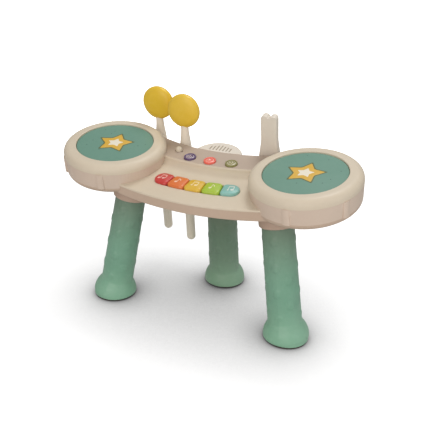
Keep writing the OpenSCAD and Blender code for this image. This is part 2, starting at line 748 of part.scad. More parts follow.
leg(mirrored(foot_front), mirrored(top_front)) drum_side(s_left);  // left_leg
leg(foot_front, top_front) drum_side(s_right);  // right_leg
leg(foot_rear, top_rear) deck_side();  // rear_leg
leg_socket(mirrored(foot_front), mirrored(top_front)) drum_side(s_left);  // left_leg_socket
leg_socket(foot_front, top_front) drum_side(s_right);  // right_leg_socket
leg_socket(foot_rear, top_rear) deck_side();  // rear_leg_socket
foot_pad(mirrored(foot_front));  // left_foot_pad
foot_pad(foot_front);  // right_foot_pad
foot_pad(foot_rear);  // rear_foot_pad
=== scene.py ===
# %% [markdown]
# # A musical activity table for toddlers
#
# The table stands on three splayed legs. Two drums with pressable pads sit left and right, and a crescent
# console with five coloured keys and three round buttons joins them. Two drumsticks stand in rings behind
# the console, and a forked post stands at the right. Nearly everything is moulded plastic, so most of the
# look comes from soft edges, a fine satin grain and the way light runs round large radii.
#
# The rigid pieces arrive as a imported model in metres. This script gives each of them a finish, and builds
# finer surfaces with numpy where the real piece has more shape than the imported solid: rounded keys,
# embossed legs, printed stars and signs.

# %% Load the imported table
import math

import bpy
import numpy as np
from mathutils import Matrix, Vector


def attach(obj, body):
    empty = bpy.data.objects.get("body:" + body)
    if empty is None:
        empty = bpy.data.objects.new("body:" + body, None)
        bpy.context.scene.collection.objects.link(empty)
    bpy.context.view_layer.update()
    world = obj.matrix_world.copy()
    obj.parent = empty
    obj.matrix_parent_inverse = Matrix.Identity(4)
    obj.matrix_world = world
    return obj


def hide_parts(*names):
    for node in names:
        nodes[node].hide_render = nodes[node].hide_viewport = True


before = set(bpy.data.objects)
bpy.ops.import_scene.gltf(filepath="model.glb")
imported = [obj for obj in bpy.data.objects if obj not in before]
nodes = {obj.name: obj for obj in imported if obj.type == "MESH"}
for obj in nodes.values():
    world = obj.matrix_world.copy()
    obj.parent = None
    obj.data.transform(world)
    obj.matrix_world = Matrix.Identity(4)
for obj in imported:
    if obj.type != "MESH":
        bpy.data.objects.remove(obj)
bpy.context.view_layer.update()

# %% [markdown]
# ## Where things are
#
# The drums, the console and everything on it were designed on one sloping plane, the deck. A place on the
# deck is easy to say: so far to the right, so far back, so high above the drum heads. A 4 x 4 matrix
# turns such a place into a point of the room, and one function applies it to whole arrays of points at
# once.

# %% Planes of the table
MM = 0.001
DECK_HEIGHT = 258 * MM          # drum heads above the floor, in the middle of the table
DECK_BACK = -27.6 * MM          # the line through both drums, from the table's middle
DECK_TILT = math.radians(11.5)
DRUM_X = 154 * MM
DRUM_CANT = math.radians(4)     # lean of each drum towards the middle
ARC_BACK = 318 * MM             # centre of the crescent's arcs, behind the drum line


def apply(matrix, points):
    """Every point p of the array becomes R p + t, with R and t the matrix's turn and shift."""
    m = np.array(matrix)
    return points @ m[:3, :3].T + m[:3, 3]


deck = Matrix.Translation((0, DECK_BACK, DECK_HEIGHT)) @ Matrix.Rotation(DECK_TILT, 4, "X")


def drum_frame(side):
    """The deck, shifted to a drum and leaned towards the middle. side is -1 at the left, 1 at the right."""
    return deck @ Matrix.Translation((side * DRUM_X, 0, 0)) @ Matrix.Rotation(-side * DRUM_CANT, 4, "Y")


def crescent_frame(radius, angle, height):
    """A place on an arc of the crescent, turned so that its y axis points at the arc's centre."""
    x, y = radius * math.sin(angle), ARC_BACK - radius * math.cos(angle)
    return deck @ Matrix.Translation((x, y, height)) @ Matrix.Rotation(angle, 4, "Z")


print("left drum's centre:", [round(v, 4) for v in drum_frame(-1).translation])

# %% [markdown]
# ## The camera
#
# The table is seen from its front right, from a little above. A camera's turn could be typed as three
# angles, but it is easier to check when it is built from three directions: where it looks, what is right
# and what is up. A small roll tilts the picture by one and a half degrees.

# %% Camera
EYE = (0.3380, -0.7731, 0.5217)
YAW, PITCH, ROLL = math.radians(23.1), math.radians(23.6), math.radians(1.46)
LENS, SENSOR = 48.4, 36         # millimetres

forward = np.array([-math.sin(YAW) * math.cos(PITCH), math.cos(YAW) * math.cos(PITCH),
                    -math.sin(PITCH)])
level = np.array([math.cos(YAW), math.sin(YAW), 0])
rise = np.cross(level, forward)
right = math.cos(ROLL) * level + math.sin(ROLL) * rise
up = np.cross(right, forward)
camera = bpy.data.objects.new("camera", bpy.data.cameras.new("camera"))
bpy.context.scene.collection.objects.link(camera)
camera.data.lens, camera.data.sensor_width = LENS, SENSOR
turn = Matrix(np.column_stack([right, up, -forward]).tolist()).to_4x4()
camera.matrix_world = Matrix.Translation(EYE) @ turn
bpy.context.scene.camera = camera
bpy.context.scene.view_settings.view_transform = "Standard"
print("camera looks along", forward.round(3))

# %% [markdown]
# ## Nodes without clutter
#
# Lamps, floor and plastics all need shader nodes. Made one by one they fill pages, so a small helper adds
# a node, sets its choices and fills its inputs. An input that is given another node's output becomes a
# link, and any other value is typed into the socket. The Mix node has three sockets called A, one for
# each kind of data, so the helper that blends colours picks those of the colour kind.

# %% Helpers for shader nodes
def fill(tree, socket, value):
    """A link when the value is another node's output, and a plain value otherwise."""
    if isinstance(value, bpy.types.NodeSocket):
        tree.links.new(value, socket)
    else:
        socket.default_value = value


def add(tree, kind, choices=None, ports=(), **inputs):
    """A new node: choices are its menus, ports its inputs in order, and the rest its inputs by name."""
    made = tree.nodes.new("ShaderNode" + kind)
    for key, value in (choices or {}).items():
        setattr(made, key, value)
    for place, value in enumerate(ports):
        fill(tree, made.inputs[place], value)
    for key, value in inputs.items():
        fill(tree, made.inputs[key.replace("_", " ")], value)
    return made


def maths(tree, operation, *values):
    """The output of one Math node, such as MULTIPLY or POWER."""
    return add(tree, "Math", {"operation": operation}, values).outputs[0]


def ramp(tree, value, low, high, to_low=0.0, to_high=1.0):
    """A value between low and high, mapped in an S curve to to_low and to_high and held outside."""
    return add(tree, "MapRange", {"interpolation_type": "SMOOTHSTEP"},
               (value, low, high, to_low, to_high)).outputs[0]


def blend_colours(tree, factor, a, b):
    """The output of a Mix node that goes from colour a to colour b: a (1 - factor) + b factor."""
    made = add(tree, "Mix", {"data_type": "RGBA"})
    fill(tree, made.inputs["Factor"], factor)
    for label, value in (("A", a), ("B", b)):
        fill(tree, [s for s in made.inputs if s.type == "RGBA" and s.name == label][0], value)
    return [s for s in made.outputs if s.type == "RGBA"][0]


print("node helpers:", [f.__name__ for f in (fill, add, maths, ramp, blend_colours)])

# %% [markdown]
# ## Light and floor
#
# A studio wraps small objects in soft light. The world gives an even fill, and three area lamps
# give the direction: one high at the back, which makes the shadows fall towards the front, a broad and
# slightly warm one at the front, and a weak one at the right that opens the shaded side of the right
# drum.
#
# The floor is a sheet of white paper. Real lamps would have to burn out the table to turn the paper white, so
# the paper glows for the camera alone, though no lamp lights it, and its shadow is painted shade: an Ambient
# Occlusion node finds how much open sky each place sees, and the paper's tone and glow are multiplied by it.
# Its rays lean towards the back, where the light comes from, so the painted soft shadow drifts a little to
# the front. A second one, with short rays that lean to the right, paints darker shade where the feet touch. A
# little way off, the paper turns pure white.

# %% Studio
WORLD_LIGHT = 0.385
WHITE = (1, 1, 1, 1)


def area_light(name, place, target, size, power, tint=(1, 1, 1)):
    """A square lamp at place that faces target."""
    data = bpy.data.lights.new(name, "AREA")
    data.energy, data.size, data.color = power, size, tint
    lamp = bpy.data.objects.new(name, data)
    bpy.context.scene.collection.objects.link(lamp)
    facing = (Vector(target) - Vector(place)).to_track_quat("-Z", "Y")
    lamp.matrix_world = Matrix.Translation(place) @ facing.to_matrix().to_4x4()


area_light("key_light", place=(0.1, 0.6, 1.75), target=(0, 0, 0.15), size=0.7, power=11)
area_light("front_light", place=(0.15, -1.8, 1.05), target=(0, 0, 0.2), size=1.9, power=20,
           tint=(1, 0.94, 0.91))
area_light("side_light", place=(1.6, -0.5, 0.6), target=(0, 0, 0.15), size=1.2, power=4.5)

world = bpy.data.worlds.new("studio")
bpy.context.scene.world = world
world.use_nodes = True
tree = world.node_tree
paths = add(tree, "LightPath")
unlit_ray = maths(tree, "MAXIMUM", paths.outputs["Is Camera Ray"], paths.outputs["Is Transmission Ray"])
lit = add(tree, "Background", Color=WHITE, Strength=WORLD_LIGHT)
seen = add(tree, "Background", Color=WHITE, Strength=1.0)
either = add(tree, "MixShader", ports=(unlit_ray, lit.outputs[0], seen.outputs[0]))
tree.links.new(either.outputs[0], tree.nodes["World Output"].inputs["Surface"])
print("world strength", WORLD_LIGHT)

# %% Floor
FLOOR_HALF = 15.0
floor_mesh = bpy.data.meshes.new("floor")
floor_corners = [(x * FLOOR_HALF, y * FLOOR_HALF, 0) for x, y in ((-1, -1), (1, -1), (1, 1), (-1, 1))]
floor_mesh.from_pydata(floor_corners, [], [(0, 1, 2, 3)])
floor = bpy.data.objects.new("floor", floor_mesh)
bpy.context.scene.collection.objects.link(floor)
print("floor", 2 * FLOOR_HALF, "m wide")

# %% Paper
PAPER = 0.30                    # share of the lamps' light that the camera sees on the paper
PAPER_BOUNCE = 0.68             # share of the light that it throws back on the table
# The glow is painted light that shows the paper white to the camera, darkened by the painted shadow of
# open_sky.
PAPER_GLOW = 1.00               # light through the paper, for the camera alone
PAPER_ROUGHNESS = 0.9
FADE_FROM, FADE_TO = 0.60, 1.20  # distance from the table's middle at which the paper turns pure white
WIDE_SHADOW = {"way": (0.10, 0.40, 0.91), "reach": 0.30, "power": 1.25}
FOOT_SHADOW = {"way": (0.50, 0.40, 0.77), "reach": 0.06, "power": 0.68}


def openness(tree, way, reach, power):
    """The share of open sky round the direction way, as far as reach, raised to a power."""
    sky = add(tree, "AmbientOcclusion", {"samples": 16}, Distance=reach, Normal=way).outputs["AO"]
    return maths(tree, "POWER", sky, power)


paper = bpy.data.materials.new("floor_paper")
paper.use_nodes = True
tree = paper.node_tree
place = add(tree, "TexCoord").outputs["Object"]
away = add(tree, "VectorMath", {"operation": "LENGTH"}, (place,)).outputs["Value"]
fade = ramp(tree, away, FADE_FROM, FADE_TO)
open_sky = maths(tree, "MULTIPLY", openness(tree, **WIDE_SHADOW), openness(tree, **FOOT_SHADOW))
tone = maths(tree, "MULTIPLY", open_sky, PAPER)
shade = tree.nodes["Principled BSDF"]
grey = add(tree, "CombineColor", ports=(tone, tone, tone)).outputs[0]
tree.links.new(grey, shade.inputs["Base Color"])
shade.inputs["Roughness"].default_value = PAPER_ROUGHNESS
shade.inputs["Specular IOR Level"].default_value = 0.0
glow_near = maths(tree, "MULTIPLY", open_sky, PAPER_GLOW)
glow = add(tree, "Emission", Strength=maths(tree, "ADD", glow_near, fade))
lit_up = add(tree, "AddShader", ports=(shade.outputs[0], glow.outputs[0]))
dull = add(tree, "BsdfDiffuse", Color=(PAPER_BOUNCE, PAPER_BOUNCE, PAPER_BOUNCE, 1))
to_camera = add(tree, "LightPath").outputs["Is Camera Ray"]
both = add(tree, "MixShader", ports=(to_camera, dull.outputs[0], lit_up.outputs[0]))
tree.links.new(both.outputs[0], tree.nodes["Material Output"].inputs["Surface"])
floor_mesh.materials.append(paper)
print("paper turns white between", FADE_FROM, "and", FADE_TO, "m")

# %% [markdown]
# ## What moulded plastic looks like close up
#
# A mould is spark-eroded, so the plastic comes out with a grain of about half a millimetre, which breaks
# up highlights. Thick places cool last and sink in a little, and light shows that as a gentle waviness.
# Pigment never mixes quite evenly, and hands polish some places more than others. Pictures of such
# surfaces would have to be fitted to every piece, while noise textures need no fitting. So surface,
# pigment and handling are three shader node groups with named inputs, and cream housings, green legs and
# glossy keys use them with their own strengths.

# %% Group: grain
SINK_SCALE = 28.0               # size of the sunk places: noise cells per metre


def group(name, inputs, outputs):
    """An empty node group with named sockets: its tree, its input sockets and its output sockets."""
    made = bpy.data.node_groups.new(name, "ShaderNodeTree")
    for label, kind in inputs.items():
        made.interface.new_socket(name=label, in_out="INPUT", socket_type="NodeSocket" + kind)
    for label, kind in outputs.items():
        made.interface.new_socket(name=label, in_out="OUTPUT", socket_type="NodeSocket" + kind)
    return made, made.nodes.new("NodeGroupInput").outputs, made.nodes.new("NodeGroupOutput").inputs


grain, given, result = group("moulded_grain", {"Fineness": "Float", "Depth": "Float", "Sink": "Float"},
                             {"Normal": "Vector"})
place = add(grain, "TexCoord").outputs["Object"]
fine = add(grain, "TexNoise", Vector=place, Scale=given["Fineness"], Detail=2.0, Roughness=0.6).outputs[0]
slow = add(grain, "TexNoise", Vector=place, Scale=SINK_SCALE, Detail=1.0, Roughness=0.4).outputs[0]
sunk = add(grain, "Bump", Strength=1.0, Distance=given["Sink"], Height=slow).outputs[0]
rough = add(grain, "Bump", Strength=1.0, Distance=given["Depth"], Height=fine, Normal=sunk).outputs[0]
grain.links.new(rough, result["Normal"])
print("group:", grain.name)

# %% Groups: pigment, handling
CLOUD_SCALE, SWIRL_SCALE = 14.0, 160.0          # noise cells per metre
SWIRL_SHARE = 0.35              # strength of the fine swirls next to the wide clouds
PALM_SCALE, PALM_FROM, PALM_TO = 22.0, 0.35, 0.7

pigment, given, result = group("pigment", {"Colour": "Color", "Unevenness": "Float"}, {"Colour": "Color"})
place = add(pigment, "TexCoord").outputs["Object"]
cloud = add(pigment, "TexNoise", Vector=place, Scale=CLOUD_SCALE, Detail=3.0, Roughness=0.55).outputs[0]
swirl = add(pigment, "TexNoise", Vector=place, Scale=SWIRL_SCALE, Detail=2.0, Roughness=0.5).outputs[0]
fine_drift = maths(pigment, "MULTIPLY", maths(pigment, "SUBTRACT", swirl, 0.5), SWIRL_SHARE)
drift = maths(pigment, "ADD", maths(pigment, "SUBTRACT", cloud, 0.5), fine_drift)
change = maths(pigment, "MULTIPLY", drift, given["Unevenness"])
bright, strong = maths(pigment, "ADD", change, 1.0), maths(pigment, "SUBTRACT", 1.0, change)
uneven = add(pigment, "HueSaturation", Color=given["Colour"], Value=bright, Saturation=strong).outputs[0]
pigment.links.new(uneven, result["Colour"])

handling, given, result = group("handling", {"Roughness": "Float", "Smears": "Float"}, {"Roughness": "Float"})
place = add(handling, "TexCoord").outputs["Object"]
palm = add(handling, "TexNoise", Vector=place, Scale=PALM_SCALE, Detail=4.0, Roughness=0.6,
           Distortion=0.6).outputs[0]
smear = maths(handling, "MULTIPLY", ramp(handling, palm, PALM_FROM, PALM_TO, -0.5, 0.5), given["Smears"])
handling.links.new(maths(handling, "ADD", given["Roughness"], smear), result["Roughness"])
print("groups:", [g.name for g in (pigment, handling)])

# %% [markdown]
# Two more groups are for single places. Flecks are the tiny dark chips sprinkled into the pads: a Voronoi
# texture gives each cell a point and a random colour, which draws lots for the cells that get a chip.
# Rubbing and a painted highlight sit where edges stick out: a Geometry node's Pointiness is high on convex
# edges and low in grooves, so it lightens the rims of a cap, partly as wear and partly as painted highlight.
# It needs a mesh whose faces share their points, which holds for the pieces built here but not for the
# imported solids. Real chips could be scattered as tiny meshes, and rims painted by hand, but both would have
# to be done again after every change of shape.

# %% Groups: flecks, edges
CHIP_SCALE = 120.0              # cells of the chips per metre
CHIP_OUT, CHIP_IN = 0.13, 0.09  # distance from a cell's point at which its chip begins and is full
RUB_FROM, RUB_TO = 0.505, 0.58  # pointiness; flat is 0.5

flecks, given, result = group("flecks", {"Colour": "Color", "Fleck": "Color", "Amount": "Float"},
                              {"Colour": "Color"})
place = add(flecks, "TexCoord").outputs["Object"]
chips = add(flecks, "TexVoronoi", Vector=place, Scale=CHIP_SCALE)
is_chip = ramp(flecks, chips.outputs["Distance"], CHIP_OUT, CHIP_IN)
lot = add(flecks, "SeparateColor", ports=(chips.outputs["Color"],)).outputs[0]
chosen = maths(flecks, "GREATER_THAN", given["Amount"], lot)
spotted = blend_colours(flecks, maths(flecks, "MULTIPLY", is_chip, chosen), given["Colour"], given["Fleck"])
flecks.links.new(spotted, result["Colour"])

edges, given, result = group("rubbed_and_highlit_edges", {"Colour": "Color", "Edge": "Color", "Amount": "Float"},
                             {"Colour": "Color"})
sharp = add(edges, "NewGeometry").outputs["Pointiness"]
edge = maths(edges, "MULTIPLY", ramp(edges, sharp, RUB_FROM, RUB_TO), given["Amount"])
edges.links.new(blend_colours(edges, edge, given["Colour"], given["Edge"]), result["Colour"])
print("groups:", [g.name for g in (flecks, edges)])

# %% [markdown]
# The legs get painted light and shade by height: a lighter foot near the floor and a darker, browner top
# where the table shades them. It could be painted on each leg, but the height above the floor is the same
# measure for all three, so one group mixes three colours by height.

# %% Group: painted light and shade by height on the legs
LIT_FOOT_TO = 0.075                 # metres above the floor at which the pale foot has become the plain colour
TOP_SHADE_FROM, TOP_SHADE_TO = 0.08, 0.205

# Thin is the lighter colour painted at a leg's foot and Thick the darker, browner one painted at its top:
# painted light near the floor and painted shade under the table.
blown, given, result = group("painted_leg_shade", {"Colour": "Color", "Thin": "Color", "Thick": "Color"},
                             {"Colour": "Color"})
place = add(blown, "TexCoord").outputs["Object"]
height = add(blown, "SeparateXYZ", ports=(place,)).outputs["Z"]
lit_foot = blend_colours(blown, ramp(blown, height, 0.0, LIT_FOOT_TO), given["Thin"], given["Colour"])
shaded_top = blend_colours(blown, ramp(blown, height, TOP_SHADE_FROM, TOP_SHADE_TO), lit_foot, given["Thick"])
blown.links.new(shaded_top, result["Colour"])
print("painted_leg_shade mixes by height from 0 to", TOP_SHADE_TO, "m")

# %% [markdown]
# ## One recipe for every plastic
#
# All plastics here share one recipe: pigment gives the base colour, handling the roughness and grain the
# normal. Every material could be wired up for itself, but a better grain would then have to be copied to
# all of them. So a function places the groups, and what differs is typed into them. A housing is satin
# with a clear grain, a key is glossy with hardly any, and the legs are blown, so they are waxy and wavy.
# Numbers that hold for the whole surface, such as the clear coat, are set on the Principled shader's own
# sockets.

# %% A recipe for plastics
COAT_ROUGHNESS = 0.12
CHIP_SHARE, RUB_SHARE = 0.16, 0.55


def srgb(r, g, b):
    """Linear light from 8-bit colour values: c / 12.92 below 0.04045, else ((c + 0.055) / 1.055) ** 2.4."""
    c = np.array([r, g, b]) / 255
    low = c / 12.92
    high = ((c + 0.055) / 1.055) ** 2.4
    return (*np.where(c <= 0.04045, low, high), 1)


def use(tree, name, **inputs):
    """Places a node group in a tree and fills its inputs. Gives the group's first output."""
    made = tree.nodes.new("ShaderNodeGroup")
    made.node_tree = bpy.data.node_groups[name]
    for key, value in inputs.items():
        fill(tree, made.inputs[key], value)
    return made.outputs[0]


def plastic(name, colour, roughness, uneven=0.10, smears=0.10, fineness=1500, depth=0.03, sink=0.25,
            coat=0.0, edge=None, chips=None, thin=None, thick=None):
    """A moulded plastic. depth and sink are the heights of its grain and waviness in millimetres. edge is the
    colour of rubbed edges, partly wear and partly painted highlight, chips of flecks, and thin and thick the
    painted light at a leg's foot and the painted shade at its top."""
    material = bpy.data.materials.new(name)
    material.use_nodes = True
    tree = material.node_tree
    shader = tree.nodes["Principled BSDF"]
    base = srgb(*colour)
    if thin:
        base = use(tree, "painted_leg_shade", Colour=base, Thin=srgb(*thin), Thick=srgb(*thick))
    base = use(tree, "pigment", Colour=base, Unevenness=uneven)
    if chips:
        base = use(tree, "flecks", Colour=base, Fleck=srgb(*chips), Amount=CHIP_SHARE)
    if edge:
        base = use(tree, "rubbed_and_highlit_edges", Colour=base, Edge=srgb(*edge), Amount=RUB_SHARE)
    tree.links.new(base, shader.inputs["Base Color"])
    tree.links.new(use(tree, "handling", Roughness=roughness, Smears=smears), shader.inputs["Roughness"])
    grained = use(tree, "moulded_grain", Fineness=fineness, Depth=depth * MM, Sink=sink * MM)
    tree.links.new(grained, shader.inputs["Normal"])
    shader.inputs["Coat Weight"].default_value = coat
    shader.inputs["Coat Roughness"].default_value = COAT_ROUGHNESS
    return material


print("cream in linear light:", [round(float(v), 3) for v in srgb(212, 199, 177)])

# %% Plastics of the table
cream = plastic("cream_abs", (212, 199, 177), 0.48)
# A lighter copy of the cream: painted light on the post and the speaker cover, which get less light than the
# tops.
pale = plastic("cream_posts_painted_light", (226, 217, 203), 0.50)
# An even lighter copy of the cream: painted light on the stick shafts, which stand in the console's shade.
lit_stick_cream = plastic("cream_sticks_painted_light", (242, 232, 214), 0.50)
taupe = plastic("taupe_abs", (196, 173, 152), 0.55)
# A darker copy of the taupe: painted shade, as the panel gets less light from above than the skirt.
taupe_panel_painted_shade = plastic("taupe_panel_painted_shade", (186, 168, 151), 0.55)
# A darker copy of the taupe: painted shade for the leg sockets, which sit in shade under the drums and
# console.
taupe_socket_painted_shade = plastic("taupe_socket_painted_shade", (186, 161, 142), 0.55)
shell_cream = plastic("cream_shell", (209, 190, 172), 0.50)
WAXY = {"uneven": 0.22, "smears": 0.16, "fineness": 900, "depth": 0.06, "sink": 0.9}
# The thin and thick colours of the legs are painted light at the foot and painted shade at the top.
sage = plastic("sage_blown", (118, 164, 139), 0.46, thin=(138, 186, 157), thick=(107, 125, 106), **WAXY)
# The rear leg gets a darker, browner copy of the sage: painted shade for the shade under the table.
shaded_sage = plastic("sage_rear_painted_shade", (111, 138, 116), 0.50, thin=(128, 164, 136), thick=(110, 114, 97),
                      **WAXY)
teal = plastic("teal_pad", (105, 147, 130), 0.50, uneven=0.16, fineness=2200, chips=(62, 96, 92))
gold = plastic("gold_stick", (232, 194, 62), 0.42, uneven=0.12, smears=0.12)
rubber = plastic("foot_rubber", (64, 60, 54), 0.75, uneven=0.2, fineness=1800, depth=0.08)
print("plastics:", [m.name for m in (cream, pale, lit_stick_cream, shell_cream, taupe, taupe_panel_painted_shade,
                                     taupe_socket_painted_shade, sage, shaded_sage, teal, gold, rubber)])

# %% [markdown]
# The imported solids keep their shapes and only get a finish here. Cream ABS is the default. The housings
# could be built anew like the outer pieces further down, but their rounds and walls are in the solids
# already. The electronics inside are hidden, but somebody may open the console, so they get believable
# finishes too: a green board, a silicone mat, a dark speaker frame and steel cells.

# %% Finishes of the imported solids
def dress(names, material):
    """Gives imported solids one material."""
    for name in names:
        nodes[name].data.materials.clear()
        nodes[name].data.materials.append(material)


def metal(name, colour, roughness):
    """Steel with fine grain and uneven polish."""
    material = plastic(name, colour, roughness, uneven=0.08, smears=0.2, fineness=3000, depth=0.02, sink=0.0)
    material.node_tree.nodes["Principled BSDF"].inputs["Metallic"].default_value = 1.0
    return material


dress(nodes, cream)
dress(["left_drum_shell", "right_drum_shell"], shell_cream)
dress(["left_drum_base", "right_drum_base"], taupe)
# The panel's darker taupe is painted shade.
dress(["control_panel"], taupe_panel_painted_shade)
# The speaker cover's lighter cream is painted light.
dress(["speaker_cover"], pale)
dress(["console_base", "battery_door"], taupe)
# The sockets' darker taupe is painted shade.
dress(["left_leg_socket", "right_leg_socket", "rear_leg_socket"], taupe_socket_painted_shade)
dress(["left_drum_pad", "right_drum_pad"], teal)
dress(["left_foot_pad", "right_foot_pad", "rear_foot_pad"], rubber)
dress(["circuit_board", "left_pad_switch", "right_pad_switch"],
      plastic("solder_mask", (42, 92, 60), 0.35, coat=0.4))
dress(["key_membrane"], plastic("silicone", (150, 158, 152), 0.6))
dress(["speaker"], plastic("speaker_black", (48, 48, 50), 0.6, fineness=2500, depth=0.08))
dress(["battery_box"], plastic("box_grey", (78, 76, 72), 0.6))
dress(["battery_cells"], metal("cell_steel", (170, 172, 175), 0.3))
print("solids with a finish:", len(nodes))

# %% [markdown]
# ## Surfaces from rings
#
# Almost every finer piece below is a stack of closed rings: a leg is round rings along an axis, a key is
# its own outline repeated while it shrinks and rises. Blender could spin, loft or bevel such shapes, but
# a ring stack computed with numpy is exact, quick and always closed. Rows of points are joined by quads,
# and a fan of triangles closes each end.

# %% Rings to mesh
def closed_skin(rings):
    """Points and faces of a closed surface. Ring k, point i joins ring k + 1 and point i + 1; the last point
    joins the first, and both end rings are closed by a fan round their middle."""
    rings = np.asarray(rings, float)
    count, around = rings.shape[:2]
    points = np.concatenate([rings.reshape(-1, 3), rings[:1].mean(axis=1), rings[-1:].mean(axis=1)])
    here = np.arange(around)
    beyond = (here + 1) % around
    row = (np.arange(count - 1) * around)[:, None]
    quads = np.stack([row + here, row + beyond, row + beyond + around, row + here + around], axis=-1)
    top_row = (count - 1) * around
    first = np.stack([beyond, here, np.full(around, count * around)], axis=-1)
    last = np.stack([top_row + here, top_row + beyond, np.full(around, count * around + 1)], axis=-1)
    return points, quads.reshape(-1, 4).tolist() + first.tolist() + last.tolist()


def revolved(profile, matrix, around=64):
    """A profile of (radius, height) turned round the z axis: (r cos u, r sin u, h), then moved by matrix."""
    r, h = np.asarray(profile, float).T
    u = np.linspace(0, 2 * np.pi, around, endpoint=False)
    rings = np.stack([np.outer(r, np.cos(u)), np.outer(r, np.sin(u)), np.outer(h, np.ones(around))],
                     axis=-1)
    return closed_skin(apply(matrix, rings))


print("a ring stack of 3 x 8 points has", len(closed_skin(np.zeros((3, 8, 3)))[1]), "faces")

# %% Pieces
SHARP_FROM = 40                 # degrees


def make_piece(name, skins, material, body, replaced=(), sharp=SHARP_FROM):
    """One object from several closed skins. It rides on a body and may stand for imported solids. Edges that
    turn by more than sharp degrees stay sharp."""
    points, faces, shift = [], [], 0
    for skin_points, skin_faces in skins:
        points.append(skin_points)
        faces += [[corner + shift for corner in face] for face in skin_faces]
        shift += len(skin_points)
    mesh = bpy.data.meshes.new(name)
    mesh.from_pydata(np.concatenate(points), [], faces)
    mesh.polygons.foreach_set("use_smooth", np.ones(len(mesh.polygons), bool))
    mesh.set_sharp_from_angle(angle=math.radians(sharp))
    mesh.materials.append(material)
    made = bpy.data.objects.new(name, mesh)
    bpy.context.scene.collection.objects.link(made)
    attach(made, body)
    if replaced:
        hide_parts(*replaced)
    return made


print("edges stay sharp from", SHARP_FROM, "degrees")

# %% [markdown]
# ## Blown legs with bell feet
#
# The legs are blow-moulded tubes: a hose of soft plastic is closed in a mould and blown out against its
# walls. That leaves large soft radii, a faint seam down both sides and low bumps for grip. Sculpting
# would work, and so would a displacement texture, but the shape is simple enough to write down: a radius
# that depends on the distance along the leg, plus a small height that depends on both distance and angle.
#
# The flare of the foot is one arc and the shank a slow cone. A smooth maximum of the two rounds the
# crease where they meet. The leg leans, so its lowest ring is found where the surface meets the rubber
# foot pad.

# %% Leg profile
FOOT_R, SHANK_R, LEG_R = 35.2 * MM, 26.0 * MM, 22.8 * MM
BELL_R, BELL_Z, TOE_R = 32.5 * MM, 5.5 * MM, 10 * MM
SHANK_Z, LEG_LEN, LEG_REF = 31 * MM, 258 * MM, 200 * MM
CREASE = 1.2 * MM               # softness of the crease between foot and shank


def leg_radius(s):
    """Radius at distance s along the leg: the smooth maximum of the foot's arc and the shank's cone,
    (bell + cone + sqrt((bell - cone)^2 + crease^2)) / 2."""
    drop = np.clip(BELL_Z - s, 0, TOE_R / 2)
    toe = FOOT_R - TOE_R + np.sqrt(TOE_R ** 2 - drop ** 2)
    flank = FOOT_R - BELL_R + np.sqrt(np.clip(BELL_R ** 2 - (s - BELL_Z) ** 2, 0, None))
    bell = np.where(s < BELL_Z, toe, flank)
    cone = SHANK_R + (LEG_R - SHANK_R) * (s - SHANK_Z) / (LEG_LEN - SHANK_Z)
    return (bell + cone + np.sqrt((bell - cone) ** 2 + CREASE ** 2)) / 2


print("leg radius at foot, shank and top:", leg_radius(np.array([BELL_Z, SHANK_Z, LEG_LEN])).round(4))

# %% Leg relief
BUMP_PITCH, BUMP_HEIGHT, BUMP_ROWS = 20 * MM, 1.1 * MM, 4
BUMP_FROM, BUMP_FULL = 0.30, 0.85               # where the product of the two cosines makes a bump
LOWEST_BUMPS, HIGHEST_BUMPS = (34 * MM, 44 * MM), (168 * MM, 176 * MM)
SEAM_PROUD, SEAM_WIDTH = 0.22 * MM, 0.0008      # the width is measured in 1 - |sin u|


def soft_step(x, low, high):
    """0 below low, 1 above high, and 3 t^2 - 2 t^3 between."""
    t = np.clip((x - low) / (high - low), 0, 1)
    return t * t * (3 - 2 * t)


def leg_relief(u, s):
    """Low bumps in staggered rows, where cos(4 u) cos(pi s / pitch) is high, and a seam at each side."""
    rows = np.cos(BUMP_ROWS * u) * np.cos(np.pi * s / BUMP_PITCH)
    bumps = BUMP_HEIGHT * soft_step(rows, BUMP_FROM, BUMP_FULL) * soft_step(s, *LOWEST_BUMPS)
    bumps = bumps * (1 - soft_step(s, *HIGHEST_BUMPS))
    seam = SEAM_PROUD * np.exp(-((np.abs(np.sin(u)) - 1) / SEAM_WIDTH) ** 2)
    return bumps + seam


print("bumps stand", BUMP_HEIGHT / MM, "mm proud, every", BUMP_PITCH / MM, "mm")

# %% Leg rings
FOOT_PAD = 3 * MM               # rubber under the foot
FOOT_EDGE = 1.2 * MM            # round of the rim that stands on the rubber
AROUND, ALONG = 144, 150


def leg_matrix(foot, top):
    """The frame at a foot whose z axis runs up the leg."""
    x, y = top[0] - foot[0], top[1] - foot[1]
    lean = math.asin(y / math.sqrt(x * x + y * y + LEG_REF ** 2))
    return (Matrix.Translation((*foot, 0)) @ Matrix.Rotation(math.atan2(x, LEG_REF), 4, "Y")
            @ Matrix.Rotation(-lean, 4, "X"))


def leg_skin(foot, top, length):
    """Rings (r cos u, r sin u, s) up the leg. They begin where the surface meets the plane z = FOOT_PAD,
    which is found by repeating start = (FOOT_PAD - radius(start) climb) / m22 with m the leg's turn."""
    matrix = leg_matrix(foot, top)
    m = np.array(matrix)
    u = np.linspace(0, 2 * np.pi, AROUND, endpoint=False)
    climb = m[2, 0] * np.cos(u) + m[2, 1] * np.sin(u)
    start = np.zeros_like(u)
    for _ in range(6):
        start = (FOOT_PAD - leg_radius(start) * climb) / m[2, 2]
    t = np.concatenate([[0, 0.001, 0.004, 0.008], np.linspace(0.012, 1, ALONG)])[:, None]
    s = start + (length - start) * t
    r = leg_radius(s) + leg_relief(u + 0 * s, s)
    r = r - FOOT_EDGE * (1 - np.sqrt(1 - (1 - np.clip((s - start) / FOOT_EDGE, 0, 1)) ** 2))
    rings = np.stack([r * np.cos(u), r * np.sin(u), s], axis=-1)
    return closed_skin(apply(matrix, rings))


print("points in a ring of a leg:", AROUND)

